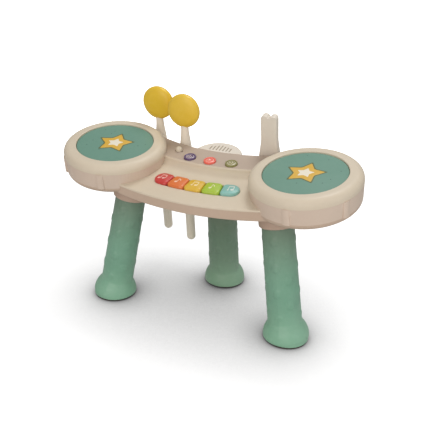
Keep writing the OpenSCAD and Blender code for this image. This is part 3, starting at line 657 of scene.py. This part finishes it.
# %% Legs
IN_SOCKET = 192 * MM            # the tubes end here, out of sight in their sockets
# Where each leg's axis meets the floor, and where it passes the height LEG_REF
LEG_AXES = {"left": ((-0.153, -0.0506), (-0.119, -0.0346)), "right": ((0.153, -0.0506), (0.119, -0.0346)),
            "rear": ((0, 0.0714), (0, 0.0399))}
for side, (foot, top) in LEG_AXES.items():
    # The rear leg's darker sage is painted shade.
    tone = shaded_sage if side == "rear" else sage
    leg = make_piece(side + "_leg_blown", [leg_skin(foot, top, IN_SOCKET)], tone, "table",
                     [side + "_leg"])
    heights = [v.co.z for v in leg.data.vertices]
    print(leg.name, "from", round(min(heights), 4), "to", round(max(heights), 4), "m")

# %% [markdown]
# ## Keys like boiled sweets
#
# The keys are cast in tinted, slightly milky plastic and feel like sweets: nothing on them is flat. A
# block could be bevelled and subdivided, but its rounds would pinch at the wedge's corners. Here each key
# is its own plan, repeated in rings. The rings rise straight, shrink in a quarter circle for the big edge
# round, and then close over a crowned top. Shrinking towards the middle instead of offsetting the outline
# keeps the rings from crossing in the tight corners.

# %% Key outlines
KEY_ARC, KEY_STEP = 354.5 * MM, 27.3 / 354.5    # radius of the keys' arc, and the angle between two keys
KEY_WIDE, KEY_DEEP = 26.5 * MM, 27 * MM
END_ROUND, CORNER = 13 * MM, 5.5 * MM


def even_outline(points, count=128):
    """The same closed outline with count points at equal distances along it."""
    closed = np.concatenate([points, points[:1]])
    along = np.concatenate([[0], np.cumsum(np.linalg.norm(np.diff(closed, axis=0), axis=1))])
    wanted = np.linspace(0, along[-1], count, endpoint=False)
    return np.stack([np.interp(wanted, along, closed[:, axis]) for axis in (0, 1)], axis=-1)


def corners(places, count=12):
    """Quarter turns c + r (cos a, sin a) round the corner centres, front right first, anticlockwise."""
    a = np.radians(np.linspace(0, 90, count))
    return np.concatenate([np.stack([x + r * np.cos(a + turn), y + r * np.sin(a + turn)], axis=-1)
                           for (x, y, r), turn in zip(places, (-np.pi / 2, 0, np.pi / 2, np.pi))])


def key_side(is_end):
    """Half widths at the front and the rear and the corner radius. The wedge flares by half its depth times
    tan(step / 2); the outer side of an end key is straight and half round."""
    half, flare = KEY_WIDE / 2, KEY_DEEP / 2 * math.tan(KEY_STEP / 2)
    return (half, half, END_ROUND) if is_end else (half + flare, half - flare, CORNER)


def key_outline(place):
    """A wedge of the crescent, wider at the front. place counts from -2 at the left end to 2 at the right."""
    deep = KEY_DEEP / 2
    right_front, right_rear, r = key_side(place == 2)
    left_front, left_rear, l = key_side(place == -2)
    return even_outline(corners([(right_front - r, r - deep, r), (right_rear - r, deep - r, r),
                                 (l - left_rear, deep - l, l), (l - left_front, l - deep, l)]))


print("a key is", round(float(np.ptp(key_outline(0)[:, 0])) / MM, 1), "mm wide at the front")

# %% Key caps
KEY_FLOOR = -31 * MM
KEY_FOOT, KEY_TOP = -8 * MM, 4.3 * MM           # from the key floor; the cap reaches down through it
KEY_CROWN, KEY_EDGE = 1.1 * MM, 3.2 * MM
KEY_TINTS = {1: (200, 64, 60), 2: (222, 120, 60), 3: (220, 180, 58), 4: (166, 194, 54), 5: (132, 186, 176)}
KEY_SLOTS = {1: "key_red", 2: "key_orange", 3: "key_yellow", 4: "key_green", 5: "key_blue"}
# Key edges are lightened towards white: partly wear, partly painted highlight.
EDGE_LIGHTER = 0.35                             # rubbed edges are this share of the way to white
MILKINESS, MILK_REACH = 0.25, (0.006, 0.004, 0.003)


def cap_skin(outline, matrix, bottom, top, edge, crown, steps=10):
    """A cap: walls from bottom to top - edge, a quarter round that shrinks the outline by up to edge, and a
    crown that rises by crown (1 - q^2) while the outline shrinks by q to its middle."""
    middle = outline.mean(axis=0)
    reach = np.linalg.norm(outline - middle, axis=1).mean()
    a = np.linspace(0, np.pi / 2, steps)
    q = np.linspace(1, 0.03, steps + 4)[1:]
    rim = 1 - edge / reach
    scale = np.concatenate([[0.5, 0.98, 1], 1 - edge * (1 - np.cos(a)) / reach, rim * q])
    height = np.concatenate([[bottom, bottom, bottom + 0.4 * MM], top - edge + edge * np.sin(a),
                             top + crown * (1 - q ** 2)])
    flat = middle + (outline - middle) * scale[:, None, None]
    z = np.broadcast_to(height[:, None, None], (*flat.shape[:2], 1))
    return closed_skin(apply(matrix, np.concatenate([flat, z], axis=-1)))


key_frames = {}
for number, tint in KEY_TINTS.items():
    light = tuple(min(255, int(c + (255 - c) * EDGE_LIGHTER)) for c in tint)
    milky = plastic(KEY_SLOTS[number], tint, 0.34, uneven=0.14, smears=0.12, depth=0.01, sink=0.1,
                    coat=0.15, edge=light)
    shader = milky.node_tree.nodes["Principled BSDF"]
    shader.inputs["Subsurface Weight"].default_value = MILKINESS
    shader.inputs["Subsurface Radius"].default_value = MILK_REACH
    shader.inputs["Subsurface Scale"].default_value = 1.0
    key_frames[number] = crescent_frame(KEY_ARC, (number - 3) * KEY_STEP, KEY_FLOOR)
    cap = cap_skin(key_outline(number - 3), key_frames[number], KEY_FOOT, KEY_TOP, KEY_EDGE, KEY_CROWN)
    name = "key_%d" % number
    make_piece(name + "_cap", [cap], milky, name, [name])
print("keys at", [round(math.degrees((n - 3) * KEY_STEP), 1) for n in KEY_TINTS], "degrees")

# %% [markdown]
# ## Prints that lie on curved tops
#
# The keys carry pale notes, the buttons small signs and the pads stars. A picture wrapped over the keys
# would blur up close. Thick ink has a body of its own, so the prints are built as patches a tenth or two
# of a millimetre thick that follow the surface below. A patch is an outline that shrinks to its middle,
# with each point lifted by the height of the surface there. Signs are made of a few such patches: an
# ellipse for a note's head, thin bars for stem and beam.

# %% Ink patches
INK = 0.15 * MM
DIP = 0.4 * MM                  # how far a patch reaches below the surface that it lies on
KEY_INK, KEY_INK_SHARE = (255, 240, 226), 0.30


def patch(outline, matrix, surface, lift=INK):
    """A thin closed patch: the outline dips under the surface, rises through it by lift, and shrinks to its
    middle. Every point's height is surface(x, y) plus the ring's own offset."""
    middle = outline.mean(axis=0)
    scale = np.array([0.4, 1, 1, 0.97, 0.8, 0.6, 0.4, 0.2, 0.05])[:, None, None]
    offset = np.array([-DIP, -DIP, lift * 0.6] + [lift] * 6)[:, None]
    flat = middle + (outline - middle) * scale
    z = surface(flat[..., 0], flat[..., 1]) + offset
    return closed_skin(apply(matrix, np.concatenate([flat, z[..., None]], axis=-1)))


def ellipse(x, y, a, b, turn=0.0, count=24):
    """An ellipse (a cos u, b sin u) round (x, y), turned by an angle in degrees."""
    u, t = np.linspace(0, 2 * np.pi, count, endpoint=False), math.radians(turn)
    return np.stack([x + a * np.cos(u) * math.cos(t) - b * np.sin(u) * math.sin(t),
                     y + a * np.cos(u) * math.sin(t) + b * np.sin(u) * math.cos(t)], axis=-1)


def bar(x0, y0, x1, y1, wide, count=32):
    """A straight stroke from one point to another with square ends."""
    run = np.array([x1 - x0, y1 - y0])
    side = np.array([-run[1], run[0]]) / np.linalg.norm(run) * wide / 2
    a, b = np.array([x0, y0]), np.array([x1, y1])
    return even_outline(np.array([a - side, b - side, b + side, a + side]), count)


def ink_tone(colour, pale, share):
    """Ink that lets a share of the colour below through: share colour + (1 - share) pale."""
    return tuple(int(share * c + (1 - share) * p) for c, p in zip(colour, pale))


print("ink on the red key:", ink_tone(KEY_TINTS[1], KEY_INK, KEY_INK_SHARE))

# %% Notes on the keys
NOTE_SIZE, NOTE_SHIFT = 1.3, np.array([-0.6, -0.8]) * MM
# Heads, stems, beam and flag in millimetres, before they are enlarged by NOTE_SIZE
BEAMED = [ellipse(-3.0, -3.0, 1.9, 1.4, 20), ellipse(2.6, -1.9, 1.9, 1.4, 20),
          bar(-1.5, -2.7, -1.5, 4.2, 0.8), bar(4.1, -1.6, 4.1, 5.2, 0.8), bar(-1.9, 4.0, 4.5, 5.0, 1.8)]
SINGLE = [ellipse(-1.6, -2.6, 2.1, 1.5, 20), bar(0.1, -2.3, 0.1, 5.0, 0.8), bar(0.0, 4.6, 2.8, 2.2, 1.3),
          bar(2.6, 2.6, 2.9, 0.2, 0.8)]


def key_top(x, y):
    """The crown of a key: top + crown (1 - (distance / reach)^2)."""
    reach = (KEY_WIDE / 2 - KEY_EDGE) * 1.05
    return KEY_TOP + KEY_CROWN * (1 - np.clip((x * x + y * y) / reach ** 2, 0, 1))


for number, at in key_frames.items():
    key_ink = plastic("key_ink_%d" % number, ink_tone(KEY_TINTS[number], KEY_INK, KEY_INK_SHARE), 0.35,
                      uneven=0.05, depth=0.01, sink=0.0)
    sign = BEAMED if number % 2 else SINGLE
    skins = [patch(shape * NOTE_SIZE * MM + NOTE_SHIFT, at, key_top) for shape in sign]
    make_piece("key_%d_note" % number, skins, key_ink, "key_%d" % number)
print("note patches:", len(BEAMED), "and", len(SINGLE))

# %% [markdown]
# ## Three round buttons
#
# Each button is turned on a lathe, so to say: a profile with a raised rim, a shallow moat and a low dome.
# A beveled cylinder would do from afar, but the rim is what catches the light, so it gets its own half
# circle. On the dome lie a pale printed ring, a disc in the button's colour and a sign. The signs are the
# common ones of a music player: bars for the melody, a triangle to play, and two chevrons for the next
# tune.

# %% Buttons
BUTTON_ARC, BUTTON_STEP = 299.5 * MM, 34.5 / 299.5
PANEL_TOP = -18 * MM
DOME_R, DOME_FOOT, DOME_RISE = 6.9, 2.1, 0.7    # millimetres, as the rest of the profile
RIM_R, RIM_Z, RIM_ROUND = 8.35, 1.85, 1.15
BUTTON_TONES = {1: (92, 72, 112), 2: (238, 104, 86), 3: (140, 136, 84)}
BUTTON_SLOTS = {1: "cap_purple", 2: "cap_coral", 3: "cap_olive"}
BUTTON_INK, BUTTON_INK_SHARE = (244, 232, 216), 0.22
RING_R, FACE_SHARE = 6.4, 0.88


def button_top(x, y):
    """The dome inside a button's rim: foot + rise (1 - (distance / radius)^2)."""
    across = np.clip((x * x + y * y) / (DOME_R * MM) ** 2, 0, 1)
    return DOME_FOOT * MM + DOME_RISE * MM * (1 - across)


a = np.linspace(0, np.pi, 9)
rim = np.stack([RIM_R + RIM_ROUND * np.cos(a), RIM_Z + RIM_ROUND * np.sin(a)], axis=-1)
q = np.linspace(1, 0.05, 9)
dome = np.stack([DOME_R * q, DOME_FOOT + DOME_RISE * (1 - q ** 2)], axis=-1)
# From the pin under the panel over the flange that keeps the button in, up the wall to rim and dome
button_profile = np.concatenate([[(0.5, -6.1), (3, -6.1), (3, -4.3), (11.2, -4.3), (11.2, -2.5), (9.5, -2.5)],
                                 rim, dome]) * MM
print("button profile:", len(button_profile), "points; one every", round(math.degrees(BUTTON_STEP), 1),
      "degrees")

# %% Button signs
BARS = [bar(-3.2, -2.6, -3.2, 1.4, 1.3), bar(0, -2.6, 0, 3.4, 1.3), bar(3.2, -2.6, 3.2, 0.2, 1.3),
        bar(-4.4, -3.6, 4.4, -3.6, 0.7)]
TRIANGLE = [even_outline(np.array([(-2.2, -3.4), (3.8, 0), (-2.2, 3.4)])), bar(-4.4, -3.2, -4.4, 3.2, 0.9)]
CHEVRONS = [bar(x, y, x + 2.6, 0, 1.1) for x in (-3.6, 0.4) for y in (-3.0, 3.0)]
SIGN_SIZES = {1: 1.0, 2: 0.8, 3: 1.0}

for number, sign in {1: BARS, 2: TRIANGLE, 3: CHEVRONS}.items():
    name, tone, slot = "button_%d" % number, BUTTON_TONES[number], BUTTON_SLOTS[number]
    at = crescent_frame(BUTTON_ARC, (number - 2) * BUTTON_STEP, PANEL_TOP)
    # The rim's lighter edge colour is partly wear, partly painted highlight.
    tinted = plastic(slot, tone, 0.30, smears=0.10, depth=0.01, sink=0.1, coat=0.3,
                     edge=tuple(min(255, c + 30) for c in tone))
    make_piece(name + "_cap", [revolved(button_profile, at, 72)], tinted, name, [name])
    button_ink = plastic("button_ink_%d" % number, ink_tone(tone, BUTTON_INK, BUTTON_INK_SHARE), 0.4,
                         uneven=0.05, depth=0.01, sink=0.0)
    circle = ellipse(0, 0, RING_R, RING_R, count=64) * MM
    make_piece(name + "_ring", [patch(circle, at, button_top, 0.06 * MM)], button_ink, name)
    smooth = plastic("button_face_%d" % number, tone, 0.34, smears=0.08, depth=0.01, sink=0.1, coat=0.2)
    make_piece(name + "_face", [patch(circle * FACE_SHARE, at, button_top, 0.14 * MM)], smooth, name)
    skins = [patch(shape * SIGN_SIZES[number] * MM, at, button_top, 0.24 * MM) for shape in sign]
    make_piece(name + "_sign", skins, button_ink, name)
print("strokes of the signs:", len(BARS), len(TRIANGLE), len(CHEVRONS))

# %% [markdown]
# ## The volume thumb
#
# A small pebble of cream plastic slides in a slot at the left of the panel. A ball scaled flat would look
# right, but it would touch the panel along a sharp line. A superellipsoid is fuller, so that a finger tip
# finds it, and it is one line of numpy. A stem goes down through the slot, and a foot below the panel
# keeps it in.

# %% Volume thumb
THUMB_X, THUMB_BACK = -61 * MM, 11 * MM         # to the left, and behind the arc of the buttons
PEBBLE_R, PEBBLE_H, PEBBLE_Z = 5.2, 6.7, 0.25   # millimetres
PEBBLE_SIDE, PEBBLE_CROWN = 0.75, 0.8           # below 1 is fuller than a ball
thumb_y = ARC_BACK - math.sqrt((BUTTON_ARC - THUMB_BACK) ** 2 - THUMB_X ** 2)
thumb_at = deck @ Matrix.Translation((THUMB_X, thumb_y, PANEL_TOP))
a = np.linspace(0.02, np.pi / 2 - 0.03, 14)
pebble = np.stack([PEBBLE_R * np.cos(a) ** PEBBLE_SIDE, PEBBLE_Z + PEBBLE_H * np.sin(a) ** PEBBLE_CROWN],
                  axis=-1)
stem = np.array([(0.5, -4), (3.4, -4), (3.4, -2.6), (1.9, -2.6), (1.9, 0.2), (4.8, 0.2)])
thumb_profile = np.concatenate([stem, pebble]) * MM
make_piece("volume_pebble", [revolved(thumb_profile, thumb_at, 48)], cream, "volume_thumb",
           ["volume_thumb"])
print("volume thumb at", [round(v, 4) for v in thumb_at.translation])

# %% [markdown]
# ## Stars on the pads
#
# Each pad shows a plain five-pointed star in three layers of ink: a thin dark edge, gold, and a small
# cream star in the middle. A picture on the pad would do the same, but ink patches stay sharp at any
# distance. A star outline alternates between two radii. Its tips are a little blunt, as screen printing
# leaves them, which a running mean along the outline gives.

# %% Star prints
STAR_R, STAR_WAIST = 27.8 * MM, 0.55
EDGE_WIDE, CREAM_STAR_R = 3.8 * MM, 13.2 * MM
STAR_TURN = {"left": 27, "right": 13.5}         # degrees


def star(radius, turn, count=240, soften=7):
    """Ten points at radius and waist x radius in turn, resampled evenly and smoothed along the outline."""
    k = np.arange(10)
    r = np.where(k % 2 == 0, radius, radius * STAR_WAIST)
    a = np.radians(turn + 36 * k)
    even = even_outline(np.stack([r * np.cos(a), r * np.sin(a)], axis=-1), count)
    return sum(np.roll(even, shift, axis=0) for shift in range(-(soften // 2), soften // 2 + 1)) / soften


def pad_top(x, y):
    """The pad is flat: 0 everywhere, in the shape of x."""
    return 0 * x


star_edge = plastic("star_edge", (92, 104, 66), 0.5, uneven=0.1, sink=0.0)
star_gold = plastic("star_gold", (218, 174, 62), 0.45, uneven=0.22, sink=0.0)
star_cream = plastic("star_cream", (236, 228, 208), 0.45, uneven=0.06, sink=0.0)
# Radius, height of the ink in millimetres, and ink
layers = {"edge": (STAR_R + EDGE_WIDE, 0.10, star_edge), "gold": (STAR_R, 0.18, star_gold),
          "cream": (CREAM_STAR_R, 0.26, star_cream)}
for side, sign in (("left", -1), ("right", 1)):
    for layer, (radius, lift, ink) in layers.items():
        skin = patch(star(radius, STAR_TURN[side]), drum_frame(sign), pad_top, lift * MM)
        make_piece(side + "_star_" + layer, [skin], ink, side + "_pad")
print("stars of", round(STAR_R * 2000), "mm across")

# %% [markdown]
# ## Drumsticks
#
# The stick is one hollow moulding with a soft shoulder that rests on the holder ring, and a yellow head
# like a thick coin. A lathe profile with bevels would do, but both are smooth enough for one formula
# each. The head is a superellipse turned round its axis: |r / R|^n + |y / T|^n = 1 with n about 2.7 gives
# the full rim and nearly flat faces.

# %% Stick profiles
HANDLE_LEN, HANDLE_TIP_R = 173, 7.8             # millimetres, as all of the two profiles
NECK_R, NECK_SWELL = 6.4, 3.3                   # the neck, and how much wider the shoulder is
HEAD_R, HEAD_T, HEAD_POWER = 27.5, 10.0, 2.7
tip = np.radians(np.linspace(-86, 0, 8))
handle_tip = np.stack([HANDLE_TIP_R * np.cos(tip), -HANDLE_LEN + HANDLE_TIP_R + HANDLE_TIP_R * np.sin(tip)],
                      axis=-1)
# The shoulder narrows to the neck in an S curve, quick at first
rise_of = np.linspace(1.2, 48, 26)
neck = NECK_R + NECK_SWELL * (1 - soft_step(rise_of, 5, 43)) ** 1.1
handle = np.concatenate([handle_tip, [(7.9, -60), (8.1, -1), (8.1, 0), (9.2, 0.0), (9.6, 0.4)],
                         np.stack([neck, rise_of], axis=-1), [(NECK_R, 55)]]) * MM
a = np.linspace(-np.pi / 2 + 0.03, np.pi / 2 - 0.03, 40)
disc_r = np.cos(a) ** (2 / HEAD_POWER)
disc_t = np.sign(np.sin(a)) * np.abs(np.sin(a)) ** (2 / HEAD_POWER)
disc = np.stack([HEAD_R * disc_r, HEAD_T * disc_t], axis=-1) * MM
print("profiles of", len(handle), "and", len(disc), "points")

# %% Sticks
STICK_ARCS = {"outer": (256.8 * MM, -29.3), "inner": (252.2 * MM, -16.1)}   # radius, and angle in degrees
STICK_BASE, STICK_LEAN = -40.5 * MM, math.radians(3.9)
HEAD_UP = 70.5                                  # millimetres from the ring to the head's middle
for which, (radius, degrees) in STICK_ARCS.items():
    angle = math.radians(degrees)
    x, y = radius * math.sin(angle), ARC_BACK - radius * math.cos(angle)
    at = deck @ Matrix.Translation((x, y, STICK_BASE)) @ Matrix.Rotation(-STICK_LEAN, 4, "X")
    body = which + "_stick"
    make_piece(body + "_shaft", [revolved(handle, at, 56)], lit_stick_cream, body,
               [body + "_handle"])
    facing = at @ Matrix.Translation((0, 0, HEAD_UP * MM)) @ Matrix.Rotation(math.radians(90), 4, "X")
    make_piece(body + "_disc", [revolved(disc, facing, 96)], gold, body, [body + "_head"], sharp=60)
print("stick length", HANDLE_LEN + HEAD_UP + HEAD_R, "mm")

# %% [markdown]
# ## The forked post
#
# The post is made to hold a toy microphone in its fork. Its plan is a rounded rectangle that widens
# towards the foot, and its top dips in the middle. A cube with a loop cut could be dragged into this
# shape, but rings give the same soft fork from a formula: the plan is repeated from the foot to the top,
# and every ring's height is a share of the height of the top at that place, so the dip fades out
# downwards.

# %% Post profile
POST_W, POST_D, POST_ROUND, POST_H = 25.5, 13.5, 2.8, 82.0   # millimetres, as all sizes of the post
POST_FLARE, POST_FLARE_Z, POST_EDGE = 6.0, 42.0, 1.6
DIP_DEEP, DIP_WIDE, LOBE_ROUND, LOBE_REACH = 3.6, 2.6, 5.5, 5.2


def fork_height(x):
    """The post's top: height - dip exp(-(x / width)^2) - shoulder, where the shoulder is the drop of a circle
    of LOBE_ROUND over the last millimetres at each side."""
    dip = DIP_DEEP * np.exp(-(x / DIP_WIDE) ** 2)
    out = np.clip(np.abs(x) - (POST_W / 2 - LOBE_ROUND), 0, LOBE_REACH)
    shoulder = LOBE_ROUND - np.sqrt(LOBE_ROUND ** 2 - out ** 2)
    return POST_H - dip - shoulder


def post_width(z):
    """The width below the flare's height grows by flare (1 - z / height)^1.2 to each side."""
    return POST_W + 2 * POST_FLARE * np.clip(1 - z / POST_FLARE_Z, 0, 1) ** 1.2


print("post's foot", round(float(post_width(0)), 1), "mm wide")

# %% Post
POST_TURN, POST_ARC, POST_FOOT = math.radians(17.5), (268 - 13.3) * MM, -38 * MM
half_w, half_d = POST_W / 2, POST_D / 2
plan = even_outline(corners([(half_w - POST_ROUND, POST_ROUND - half_d, POST_ROUND),
                             (half_w - POST_ROUND, half_d - POST_ROUND, POST_ROUND),
                             (POST_ROUND - half_w, half_d - POST_ROUND, POST_ROUND),
                             (POST_ROUND - half_w, POST_ROUND - half_d, POST_ROUND)], 16), 160)
share = np.concatenate([np.linspace(0, 0.94, 48), np.linspace(0.95, 1, 12)])[:, None]
inset = POST_EDGE * (1 - np.sqrt(1 - np.clip((share * POST_H - POST_H + POST_EDGE) / POST_EDGE, 0, 1) ** 2))
closing = np.linspace(1, 0.06, 9)[1:, None]
last_x, last_y = 1 - 2 * POST_EDGE / POST_W, 1 - 2 * POST_EDGE / POST_D
x = plan[:, 0] * np.concatenate([1 - 2 * inset / POST_W, last_x * closing])
y = plan[:, 1] * np.concatenate([1 - 2 * inset / POST_D, last_y * closing])
z = np.concatenate([share, np.ones_like(closing)]) * fork_height(x)
x = x * post_width(z) / POST_W
rings = np.stack([x, y, z], axis=-1) * MM
post_x, post_y = POST_ARC * math.sin(POST_TURN), ARC_BACK - POST_ARC * math.cos(POST_TURN)
post_at = deck @ Matrix.Translation((post_x, post_y, POST_FOOT))
make_piece("mic_post_shell", [closed_skin(apply(post_at, rings))], pale, "table", ["mic_post"])
print("fork's highest point", round(float(z.max()), 1), "mm above the post's foot")

# %% [markdown]
# ## Cloth behind the speaker's slots
#
# A thin grey cloth keeps crumbs out of the speaker, and only stripes of it show through the slots. Woven
# threads as geometry would be thousands of faces that nobody sees. Two sets of waves at a right angle,
# multiplied, drive a bump instead.

# %% Speaker cloth
CLOTH_HALF_W, CLOTH_HALF_D, CLOTH_ROUND = 22, 11, 4          # millimetres
CLOTH_Y, CLOTH_Z = 62 * MM, -18.1 * MM                       # on the deck, right under the cover's slots
THREADS, THREAD_DEPTH = 450.0, 0.1 * MM
cloth = plastic("speaker_cloth", (176, 164, 146), 0.85, uneven=0.15, sink=0.0)
tree = cloth.node_tree
place = add(tree, "TexCoord").outputs["Object"]
warp, weft = (add(tree, "TexWave", {"bands_direction": way}, Vector=place, Scale=THREADS).outputs["Fac"]
              for way in ("X", "Y"))
woven = add(tree, "Bump", Strength=0.8, Distance=THREAD_DEPTH, Height=maths(tree, "MULTIPLY", warp, weft))
tree.links.new(woven.outputs[0], tree.nodes["Principled BSDF"].inputs["Normal"])
w, d = CLOTH_HALF_W - CLOTH_ROUND, CLOTH_HALF_D - CLOTH_ROUND
cloth_corners = [(w, -d, CLOTH_ROUND), (w, d, CLOTH_ROUND), (-w, d, CLOTH_ROUND), (-w, -d, CLOTH_ROUND)]
cloth_plan = even_outline(corners(cloth_corners), 96) * MM
cloth_at = deck @ Matrix.Translation((0, CLOTH_Y, CLOTH_Z))
make_piece("speaker_cloth", [patch(cloth_plan, cloth_at, pad_top, 0.1 * MM)], cloth, "table")
print("cloth", round(float(np.ptp(cloth_plan[:, 0])) / MM), "mm wide")

# %% [markdown]
# ## Seams and screws
#
# A drum is three mouldings clipped together, and the joint under the rim shows as a fine line. A groove would
# have to be cut into the imported solid, so a thin half-sunk bead of a slightly darker tone stands for it.
# From below, someone who turns the table over sees screws: three in each drum, three in the console and one
# that keeps the battery door shut. A screw is a lathe profile with two flat dark patches as its cross:
# painted shade where the recess would be.

# %% Seams
SEAM_R, BEAD_R, SEAM_Z = 80.42, 0.18, -11       # millimetres
BEAD_SIDES, BEAD_STEPS = 8, 160
gap_tone = plastic("seam_shadow", (202, 186, 168), 0.7, uneven=0.05, sink=0.0)


def ring_skin(matrix):
    """A torus ((R + r cos a) cos u, (R + r cos a) sin u, z + r sin a) as points and quads."""
    a = np.linspace(0, 2 * np.pi, BEAD_SIDES + 1)[:-1, None]
    u = np.linspace(0, 2 * np.pi, BEAD_STEPS, endpoint=False)
    r = SEAM_R + BEAD_R * np.cos(a) + 0 * u
    bead = np.stack([r * np.cos(u), r * np.sin(u), SEAM_Z + BEAD_R * np.sin(a) + 0 * u], axis=-1) * MM
    row, here = np.meshgrid(np.arange(BEAD_SIDES), np.arange(BEAD_STEPS), indexing="ij")
    beyond, above = (here + 1) % BEAD_STEPS, (row + 1) % BEAD_SIDES * BEAD_STEPS
    row = row * BEAD_STEPS
    quads = np.stack([row + here, row + beyond, above + beyond, above + here], axis=-1)
    return apply(matrix, bead).reshape(-1, 3), quads.reshape(-1, 4).tolist()


for side, sign in (("left", -1), ("right", 1)):
    make_piece(side + "_rim_seam", [ring_skin(drum_frame(sign))], gap_tone, "table")
print("seam bead", 2 * BEAD_R, "mm thick")

# %% Screws
UNDER_DRUM, UNDER_CONSOLE = -46 * MM, -50 * MM
DRUM_SCREW_R, DRUM_SCREW_TURNS = 58 * MM, (0.3, 2.3, -1.2)   # turns in radians
CONSOLE_SCREWS = ((385 * MM, -17), (385 * MM, 17), (300 * MM, -18))          # arc radius, and degrees
DOOR_SCREW = (51 * MM, 16.5 * MM)
CROSS_Z = 1.12 * MM                             # the cross lies on the head's flat middle
screw_steel = metal("screw_steel", (150, 150, 152), 0.35)
# The cross is painted dark: painted shade where the recess would be.
recess_painted_shade = plastic("screw_recess_painted_shade", (40, 40, 40), 0.6, sink=0.0)
screw_profile = np.array([(0.3, -1.2), (1.6, -1.15), (2.6, -0.95), (3.0, -0.5), (3.0, 0.6), (0.3, 0.6)]) * MM


def drum_screw(side, turn):
    """A place under a drum: (side r cos turn, r sin turn) from the drum's axis."""
    x, y = side * DRUM_SCREW_R * math.cos(turn), DRUM_SCREW_R * math.sin(turn)
    return drum_frame(side) @ Matrix.Translation((x, y, UNDER_DRUM))


def cross_height(x, y):
    """The head is flat where the cross is."""
    return CROSS_Z + 0 * x


spots = [drum_screw(side, turn) for side in (-1, 1) for turn in DRUM_SCREW_TURNS]
spots += [crescent_frame(r, math.radians(t), UNDER_CONSOLE) for r, t in CONSOLE_SCREWS]
spots += [deck @ Matrix.Translation((*DOOR_SCREW, UNDER_CONSOLE))]
heads = [revolved(screw_profile, at, 24) for at in spots]
crosses = [patch(shape * MM, at @ Matrix.Rotation(math.pi, 4, "X"), cross_height, 0.12 * MM)
           for at in spots for shape in (bar(-1.4, 0, 1.4, 0, 0.6), bar(0, -1.4, 0, 1.4, 0.6))]
make_piece("underside_screws", heads, screw_steel, "table")
make_piece("underside_screw_slots", crosses, recess_painted_shade, "table")
print("screws:", len(spots))
